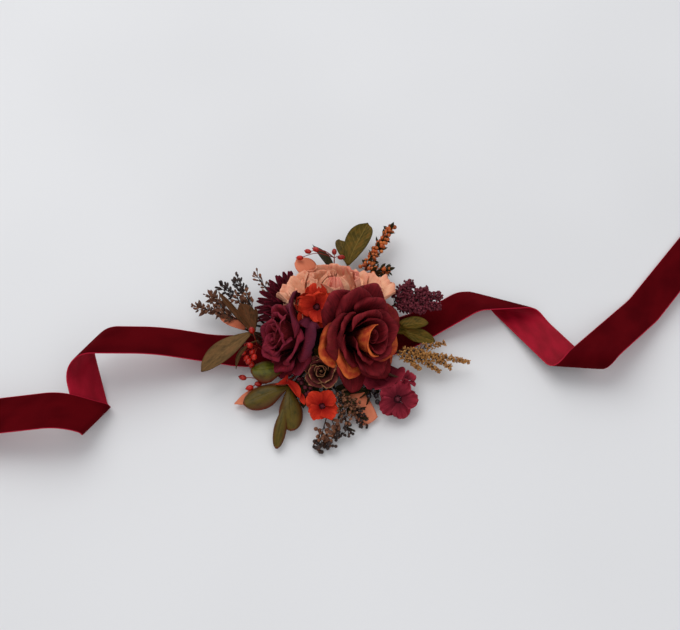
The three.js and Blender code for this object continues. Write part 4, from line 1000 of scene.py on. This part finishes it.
# Each sprig: its look, its style, the depth of its stem, the foot, for each leaf the tip, the width, the roll
# in degrees and, where it has one, a foot of its own, and last what differs from the style. The early sprigs
# are made before most flowers, so they aren't pressed out of the room of those.
EARLY_LEAF_SHARES = dict(
    leaf_bronze=("bronze", "plain", 0.4, (-0.55, -0.05, 0.24), [((-0.875, -0.35, 0.22), 0.17, 10)],
                 dict(tip=0.3, peak=0.6)),
    leaf_curved=("bronze", "plain", 0.2, (-0.505, -0.1, 0.22), [((-0.65, -0.3, 0.15), 0.07, 60)],
                 dict(sag=60, cup=0.6)),
    leaf_sprig_left=("brown", "plain", 0.6, (-0.53, -0.03, 0.2), [
        ((-0.63, 0.215, 0.22), 0.12, 0), ((-0.8, 0.3, 0.245), 0.045, -20), ((-0.53, 0.215, 0.16), 0.045, 0)],
        dict(cup=0.5, tone=0.2)),
    leaf_thick=("fleshy", "dome", 0.3, (-0.3, -0.27, 0.13), [((-0.545, -0.305, 0.155), 0.19, 10)]),
    leaf_sprig_top=("green", "plain", 0.3, (0.13, 0.6, 0.15), [
        ((0.285, 0.985, 0.155), 0.19, -10), ((0.065, 0.88, 0.09), 0.12, 15)],
        dict(tip=0.05, peak=0.56, fall=0.75)),
    leaf_top_dark=("dark", "plain", 0.1, (0.03, 0.5, 0.17), [((-0.135, 0.78, 0.155), 0.1, 35)]),
)
LATE_LEAF_SHARES = dict(
    leaf_sprig_front=("fleshy", "dome", 0.1, (-0.28, -0.41, 0.12), [
        ((-0.25, -0.72, 0.065), 0.16, 0), ((-0.59, -0.525, 0.09), 0.17, -5),
        ((-0.355, -0.84, 0.04), 0.085, 0, (-0.3, -0.52, 0.1))], dict(tone=0.25)),
    leaf_sprig_right=("green", "plain", 0, (0.44, 0.04, 0.15), [
        ((0.695, 0.06, 0.2), 0.13, -15), ((0.74, -0.07, 0.16), 0.11, 10)], dict(tip=0.25)),
    leaf_between=("green", "plain", 0.7, (-0.03, -0.1, 0.19), [((-0.05, -0.29, 0.24), 0.14, 0)]),
    peach_leaf_front=("peach", "plain", 0, (0.12, -0.36, 0.08), [((0.28, -0.64, 0.03), 0.15, 0)],
                      dict(waist=0.7, peak=0.5, tip=0.85, round=0.04, sag=8, cup=0.05, blunt=True)),
    peach_leaf_front_left=("peach", "flat", 0, (-0.3, -0.36, 0.07), [((-0.655, -0.5, 0.04), 0.11, 0)]),
    peach_leaf_left=("peach", "flat", 0.4, (-0.6, 0.04, 0.15), [((-0.8, 0.19, 0.11), 0.08, 0)]),
    peach_leaf_top=("peach", "flat", 0, (-0.1, 0.46, 0.15), [((-0.24, 0.7, 0.11), 0.15, 0)]),
    peach_leaf_right=("peach", "flat", 0, (0.37, 0.35, 0.16), [((0.47, 0.43, 0.15), 0.09, 0)]),
    red_petals=("vermilion", "petal", 0.5, (-0.29, -0.39, 0.17), [
        ((-0.37, -0.365, 0.16), 0.08, 20), ((-0.2, -0.51, 0.14), 0.075, -25),
        ((-0.165, -0.55, 0.12), 0.04, 30, (-0.19, -0.47, 0.13))]),
    wine_petals=("wine", "petal", 0, (0.36, -0.27, 0.14), [
        ((0.27, -0.42, 0.12), 0.13, 15), ((0.41, -0.43, 0.12), 0.12, -10), ((0.51, -0.31, 0.15), 0.13, -25)]),
)


def leaf_surface(form, length, width):
    path = arc_path(length, radians(form.sag) / 2, [(1, -form.sag)])

    def place(s, t):
        half = width / 2 * outline(s, form, form.swell, form.fall)
        if not form.blunt:
            half = half * smooth(1.04, 0.93, s) ** 0.5
        x, z, angle = path(s * (1 - form.round * t * t))
        lift = form.cup * half * (np.abs(t) ** form.keel)
        lift = lift + 0.035 * width * np.sin(7 * s + 2 * t) * s
        return np.stack([x - lift * np.sin(angle), half * t, z + lift * np.cos(angle)], -1)
    return place


def leaf_form(style="plain", **changes):
    return SimpleNamespace(**{**LEAF, **LEAF_STYLES[style], **changes})


def leaf(shape, form, base, tip, width, roll, kind=0):
    length = np.linalg.norm(tip - base)
    place = leaf_surface(form, length, width)
    thickness = LEAF_THICKNESS * form.thick
    placing = tip_frame(base, tip, roll)
    sheet(shape, place, thickness, LEAF_GRID, (length, width / 2), placing, form.tone, kind, kind)


def leaves(sprigs):
    for name, (look, style, depth, foot, blades, *changes) in sprigs.items():
        shape = Shape()
        form = leaf_form(style, **dict(*changes))
        for tip, width, roll, *own_foot in blades:
            base = at(own_foot[0] if own_foot else foot)
            leaf(shape, form, base, at(tip), width * BOUQUET_RADIUS, roll)
            if own_foot:
                wire(shape, [at(foot), base], 2 * TWIG_RADIUS, sides=6)
        stem(shape, at(foot), depth)
        *materials, slot = LEAF_LOOKS[look]
        shape.piece(name + "_blades", materials, [name])


# Sprays. Each branch is a stem with buds on twigs round it; spread is how far they stand off it, as a share
# of the bouquet's radius, and clump how many sit together. A branch is its start, or the share of the first
# branch where it leaves, then its end and the number of its twigs. From dark_from on, as a share of
# the branch, the buds are of the second material, and bare is the share without twigs.
SPRAY = dict(bare=0.1, taper=0.5, lean=60, clump=1, profile=SEED, sides=6, leaflets=0, dark_from=1.0)


def branch_points(start, end):
    middle = (start + end) / 2 + vec(0, 0, BRANCH_ARCH * BOUQUET_RADIUS)
    return [start, middle, end]


def plume(shape, points, form, count):
    path = curve(points, BRANCH_STEPS)
    last = len(path) - 1
    forward = unit(np.gradient(path, axis=0))
    wire(shape, points, BRANCH_RADIUS, BRANCH_RADIUS / 2, steps=6)
    size = form.bud * BUD_RADIUS
    reach = form.spread * BOUQUET_RADIUS
    for k in range(count):
        share = form.bare + (1 - form.bare) * (k + 0.5) / count
        i = min(int(share * last), last)
        out = round_axis(forward[i], GOLDEN_ANGLE * k)
        lean = radians(form.lean * scatter(LEAN_SCATTER))
        heading = unit(forward[i] * cos(lean) + out * sin(lean))
        end = path[i] + heading * reach * (1 - form.taper * share) * scatter(TWIG_SCATTER)
        end[2] = max(end[2], TWIG_CLEAR * size)
        wire(shape, [path[i], end], TWIG_RADIUS, sides=4, steps=1)
        for m in range(form.clump):
            spot = end + (rng.normal(size=3) * size * CLUMP_SCATTER if m else 0)
            spot[2] = max(spot[2], BUD_CLEAR * size)
            own = size * scatter(BUD_SCATTER)
            tone = 0.5 * rng.random() ** 2
            axis = heading + rng.normal(size=3) * AXIS_SCATTER
            lathe(shape, spot, axis, own, form.profile, form.sides, int(share > form.dark_from), tone)
    lathe(shape, path[-1], forward[-1], size, form.profile, form.sides)
    for k in range(form.leaflets):
        i = int((0.15 + 0.8 * (k + 0.5) / form.leaflets) * last)
        heading = unit(forward[i] + round_axis(forward[i], LEAFLET_TURN * k) * LEAFLET_LEAN)
        tip = path[i] + heading * reach * LEAFLET_LENGTH
        length = np.linalg.norm(tip - path[i])
        place = leaf_surface(leaf_form(cup=0.4, sag=30, tip=0.05), length, LEAFLET_WIDTH * BUD_RADIUS)
        placing = tip_frame(path[i], tip, LEAFLET_ROLL * k)
        sheet(shape, place, 2 * TWIG_RADIUS, LEAFLET_GRID, (LEAFLET_GRAIN,) * 2, placing, front=2, back=2)


def spray(name, materials, slot, depth, branches, **changes):
    shape = Shape()
    form = SimpleNamespace(**{**SPRAY, **changes})
    base = at(branches[0][0])
    main = curve(branch_points(base, at(branches[0][1])), BRANCH_STEPS)
    stem(shape, base, depth)
    for i, (start, end, count) in enumerate(branches):
        own = isinstance(start, tuple)
        begin = at(start) if own else main[int(start * (len(main) - 1))]
        if own and i:
            wire(shape, [base, begin], BRANCH_RADIUS)
        plume(shape, branch_points(begin, at(end)), form, count)
    shape.piece(name + "_buds", materials, [name])


def sprays():
    spray("orange_bud_spray", ["orange_bud", "brown_stem", "leaf_dark"], "orange_bud", 0.55, [
        ((0.23, 0.5, 0.15), (0.465, 0.965, 0.135), 74),
        ((0.27, 0.52, 0.155), (0.43, 0.54, 0.155), 12)],
        spread=0.05, taper=0.45, profile=BALL, bud=1.22, leaflets=20, sides=9)
    spray("burgundy_spray", ["dark_berry", "brown_stem", "leaf_dark"], "dark_berry", 0.75, [
        ((0.46, 0.23, 0.17), (0.79, 0.265, 0.24), 44),
        ((0.46, 0.25, 0.18), (0.58, 0.365, 0.25), 36),
        ((0.48, 0.21, 0.17), (0.77, 0.19, 0.22), 42),
        (0.2, (0.69, 0.31, 0.24), 30),
        (0.1, (0.66, 0.16, 0.2), 28)],
        spread=0.043, taper=0.7, bud=0.74, clump=8, bare=0.0)
    spray("gold_spray", ["gold_seed", "brown_stem", "leaf_dark"], "gold_seed", 0, [
        ((0.42, -0.13, 0.15), (0.97, -0.205, 0.11), 90),
        (0.22, (0.76, -0.27, 0.09), 44),
        (0.3, (0.8, -0.07, 0.14), 26),
        (0.4, (0.84, -0.24, 0.1), 34),
        (0.15, (0.68, -0.18, 0.16), 40),
        (0.05, (0.62, -0.26, 0.12), 40)],
        spread=0.05, taper=0.7, lean=36, bud=0.36, clump=12, sides=5)
    brown = ["brown_seed", "black_seed", "brown_seed"]
    spray("brown_spray_right", ["brown_seed", "black_seed", "leaf_dark"], "brown_spray", 0.15, [
        ((0.03, -0.42, 0.13), (0.235, -0.655, 0.06), 32),
        ((0.05, -0.45, 0.13), (0.13, -0.73, 0.06), 28),
        (0.4, (0.2, -0.57, 0.09), 18)],
        spread=0.045, taper=0.2, lean=50, bud=0.75, clump=3, dark_from=0.75, leaflets=5)
    spray("brown_spray_left", brown, "brown_spray", 0.4, [
        ((-0.01, -0.6, 0.1), (-0.075, -0.84, 0.04), 14),
        ((0, -0.61, 0.1), (0.06, -0.76, 0.06), 10),
        (0.4, (0.0, -0.82, 0.05), 10)],
        spread=0.04, taper=0.1, lean=45, bud=1.1, clump=2, sides=8, profile=BALL, bare=0.4, leaflets=3,
        dark_from=0.72)
    spray("fern_left", brown, "brown_spray", 0.5, [
        ((-0.62, 0.11, 0.15), (-0.965, 0.25, 0.12), 46),
        (0.3, (-0.86, 0.33, 0.15), 24)],
        spread=0.055, lean=36, bud=0.5, clump=4, profile=POD, leaflets=10)
    spray("ferns_middle", ["brown_seed", "black_seed", "black_seed"], "brown_spray", 0.2, [
        ((-0.52, 0.13, 0.17), (-0.78, 0.4, 0.155), 36),
        ((-0.52, 0.14, 0.17), (-0.67, 0.42, 0.19), 36)],
        spread=0.05, taper=0.2, lean=34, bud=0.72, clump=2, profile=POD, bare=0.2, dark_from=0.55)
    spray("fern_top", brown, "brown_spray", 0.1, [((-0.4, 0.28, 0.14), (-0.54, 0.49, 0.18), 16)],
          spread=0.045, taper=0.2, lean=38, bud=0.75, profile=POD, bare=0.3)


def berry_twig(name, materials, depth, hub, size, stretch, places, tips=()):
    """Berries on stalks that leave one hub, and small leaves round it."""
    shape = Shape()
    centre = at(hub)
    radius = size * BERRY_RADIUS
    profile = [(r, h * stretch) for r, h in BALL]
    stem(shape, centre, depth, 2 * TWIG_RADIUS)
    for place in places:
        spot = at(place)
        away = unit(spot - centre)
        middle = (spot + centre) / 2 + vec(0, 0, STALK_ARCH) * np.linalg.norm(spot - centre)
        wire(shape, [centre, middle, spot], 1.3 * TWIG_RADIUS, steps=4)
        lathe(shape, spot, away, radius, profile)
        lathe(shape, spot + away * radius * stretch, away, radius * BERRY_TIP, BALL, sides=6, kind=1)
    width = BERRY_LEAF_WIDTH_SHARE * BOUQUET_RADIUS
    for k, tip in enumerate(tips):
        leaf(shape, leaf_form(cup=0.5), centre, at(tip), width, BERRY_LEAF_ROLL * (-1) ** k, kind=2)
    shape.piece(name + "_fruit", materials, [name])


def berries():
    red = ["red_berry", "red_stem"]
    berry_twig("red_berries_left", red, 0.25, (-0.5, -0.13, 0.18), 1.09, 1.15, [
        (-0.54, -0.045, 0.27), (-0.57, -0.13, 0.21), (-0.535, -0.18, 0.2), (-0.575, -0.21, 0.17),
        (-0.54, -0.25, 0.15), (-0.6, -0.17, 0.18), (-0.55, -0.15, 0.24), (-0.56, -0.24, 0.18),
        (-0.52, -0.22, 0.2)])
    berry_twig("red_berries_low", red, 0.1, (-0.44, -0.36, 0.08), 1.03, 1.4, [
        (-0.6, -0.33, 0.11), (-0.55, -0.4, 0.09), (-0.49, -0.38, 0.11)])
    berry_twig("red_berries_top", red, 0, (0.03, 0.6, 0.24), 0.97, 1.5, [
        (-0.225, 0.66, 0.155), (-0.165, 0.7, 0.18), (-0.105, 0.68, 0.23), (0.03, 0.66, 0.23),
        (0.08, 0.61, 0.23)])
    dark = ["dark_berry", "brown_stem", "leaf_dark"]
    berry_twig("dark_berries_front", dark, 0.45, (-0.2, -0.38, 0.13), 0.8, 1, [
        (-0.19, -0.4, 0.16), (-0.15, -0.385, 0.17), (-0.13, -0.43, 0.14), (-0.165, -0.43, 0.15),
        (-0.21, -0.375, 0.17), (-0.14, -0.46, 0.13), (-0.19, -0.36, 0.14), (-0.12, -0.4, 0.12),
        (-0.16, -0.47, 0.12), (-0.17, -0.41, 0.11)], [
        (-0.05, -0.46, 0.07), (-0.29, -0.5, 0.06), (-0.04, -0.38, 0.09), (-0.18, -0.54, 0.05),
        (-0.1, -0.5, 0.06), (0.02, -0.4, 0.06), (-0.3, -0.44, 0.08)])
    black = ["black_berry", "brown_stem", "leaf_dark"]
    berry_twig("black_berries", black, 0.1, (0.27, -0.4, 0.06), 0.97, 1.1, [
        (0.27, -0.47, 0.1), (0.32, -0.46, 0.09), (0.33, -0.5, 0.07), (0.3, -0.44, 0.12)], [
        (0.2, -0.47, 0.06), (0.34, -0.43, 0.07), (0.25, -0.52, 0.05), (0.03, -0.4, 0.09),
        (0.09, -0.45, 0.07)])


# Ribbon

def rolled(rolls, length, a, b):
    """Where a point of the flat strip, a along and b across, lies once every roll is made."""
    x, y, z = a.copy(), b.copy(), np.zeros_like(a)
    for roll in reversed(rolls):
        skew, bend = radians(roll["skew"]), abs(radians(roll["turn"]))
        sign = copysign(1, roll["turn"])
        radius, start = roll["radius"] * length, roll["start"] * length
        axis, across = (cos(skew), sin(skew)), (sin(skew), -cos(skew))
        run = (a - start) * across[0] + b * across[1]
        turn = np.clip(run / radius, 0, bend)
        on_axis = (x - start) * axis[0] + y * axis[1]
        beyond = (x - start) * across[0] + y * across[1] - radius * turn
        level = radius * np.sin(turn) + np.cos(turn) * beyond + sign * np.sin(turn) * z
        height = -sign * radius * (1 - np.cos(turn)) - sign * np.sin(turn) * beyond + np.cos(turn) * z
        bent = run > 0
        x = np.where(bent, start + axis[0] * on_axis + across[0] * level, x)
        y = np.where(bent, axis[1] * on_axis + across[1] * level, y)
        z = np.where(bent, height, z)
    return np.stack([x, y, z], -1)


def ribbon(side, hinge_shares, heading, rolls, length, seam):
    hinge = vec(*hinge_shares, 0) * PAD_LENGTH + vec(0, 0, FELT_THICKNESS + RIBBON_THICKNESS / 2)
    out = vec(cos(radians(heading)), sin(radians(heading)), 0)
    turn = np.array([out, vec(-out[1], out[0], 0), vec(0, 0, 1)])
    half = RIBBON_WIDTH / 2

    def place(s, t):
        b = t * half
        first = (seam - hinge[0] + b * out[1]) / out[0]
        last = length - half * TAIL_END_LEAN + b * TAIL_END_LEAN
        return rolled(rolls, length, first + (last - first) * s, b)

    shape = Shape()
    whole = length + abs((seam - hinge[0]) / out[0])
    sheet(shape, place, RIBBON_THICKNESS, RIBBON_GRID, (whole, half), (turn, hinge), thin=0.6)
    nodes = [f"ribbon_{side}_glued", f"ribbon_{side}_tail"]
    made = shape.piece(f"ribbon_{side}", ["velvet", "ribbon_back"], nodes, body=None)
    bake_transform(made)


def pad():
    for name, material in (("felt_base", "felt"), ("felt_cover", "felt"), ("glue_bed", "glue")):
        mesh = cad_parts[name].data
        mesh.materials.clear()
        mesh.materials.append(MATERIALS[material])


# The studio

def area_light(name, place, size, power):
    light = bpy.data.lights.new(name, "AREA")
    light.energy, light.size = power, size
    lamp = bpy.data.objects.new(name, light)
    bpy.context.scene.collection.objects.link(lamp)
    lamp.location = place
    x, y, z = place
    lamp.rotation_euler = (atan2(hypot(x, y), z), 0, atan2(-x, y) + pi)


def studio():
    scene = bpy.context.scene
    view = bpy.data.cameras.new("camera")
    view.lens, view.sensor_width = LENS_MM, SENSOR_MM
    camera = bpy.data.objects.new("camera", view)
    camera.location = CAMERA_PLACE
    camera.rotation_euler = (radians(CAMERA_TILT), 0, 0)
    scene.collection.objects.link(camera)
    scene.camera = camera
    mesh = bpy.data.meshes.new("floor")
    h = FLOOR_SIZE / 2
    mesh.from_pydata([(-h, -h, 0), (h, -h, 0), (h, h, 0), (-h, h, 0)], [], [(0, 1, 2, 3)])
    mesh.materials.append(MATERIALS["floor"])
    floor = bpy.data.objects.new("floor", mesh)
    scene.collection.objects.link(floor)
    area_light("window", WINDOW_PLACE, WINDOW_SIZE, WINDOW_POWER)
    area_light("fill", FILL_PLACE, FILL_SIZE, FILL_POWER)
    world = bpy.data.worlds.new("world")
    world.use_nodes = True
    scene.world = world
    nodes, links = world.node_tree.nodes, world.node_tree.links
    sky = nodes["Background"]
    sky.inputs["Color"].default_value = srgb(244, 246, 250)
    paths = nodes.new("ShaderNodeLightPath")
    seen = nodes.new("ShaderNodeMapRange")
    seen.inputs["To Min"].default_value = AMBIENT
    seen.inputs["To Max"].default_value = SKY_SEEN
    links.new(paths.outputs["Is Camera Ray"], seen.inputs["Value"])
    links.new(seen.outputs[0], sky.inputs["Strength"])
    scene.view_settings.view_transform = "Standard"


# Pieces made first keep their room: a later petal or leaf is pressed out of it.
pad()
seam = SEAM_SHARE * PAD_LENGTH
ribbon("left", LEFT_HINGE_SHARES, LEFT_HEADING, LEFT_ROLL_SHARES, LEFT_TAIL_LENGTH, seam - CLEARANCE)
ribbon("right", RIGHT_HINGE_SHARES, RIGHT_HEADING, RIGHT_ROLL_SHARES, RIGHT_TAIL_LENGTH, seam)
flower("rust_rose", RUST_ROWS, RUST_ROSE_RADIUS, ["rust_front", "rust_reverse"], "rust_petal", 1.6,
       2 * PRESS_GAP)
floret("red_floret_upper", 1.1 * RED_FLORET_RADIUS, 68, 0.8, "vermilion", extra=3, half=0.68, ruffle=0.17,
       waves=8, crumple=0.05)
leaves(EARLY_LEAF_SHARES)
flower("plum_rose", PLUM_ROWS, PLUM_ROSE_RADIUS, ["plum_front", "plum_reverse"], "plum_petal", 1.5)
flower("mini_rose", MINI_ROWS, MINI_ROSE_RADIUS, ["mauve_front", "mauve_reverse"], "mauve_petal", 0.8,
       depth=0.2, along=0.82, stem_radius=STEM_RADIUS)
flower("peach_rose", PEACH_ROWS, PEACH_ROSE_RADIUS, ["peach_front", "peach_reverse"], "peach_petal", 1.1,
       3 * PRESS_GAP)
flower("dahlia", DAHLIA_ROWS, DAHLIA_RADIUS, ["dahlia_front"] * 2, "burgundy_petal", 0.6, depth=0.6,
       along=0.4, kind="rays", sepals=7, stem_radius=1.5 * STEM_RADIUS)
floret("red_floret_lower", 0.88 * RED_FLORET_RADIUS, 50, 0.3, "vermilion", count=4, half=0.74, crease=0.3,
       ruffle=0.16, waist=0.2)
floret("wine_floret", WINE_FLORET_RADIUS, 70, 0.1, "wine", half=0.68, ruffle=0.16, waves=13)
floret("wine_floret_back", 0.6 * WINE_FLORET_RADIUS, 55, 0.2, "wine")
leaves(LATE_LEAF_SHARES)
sprays()
berries()
studio()
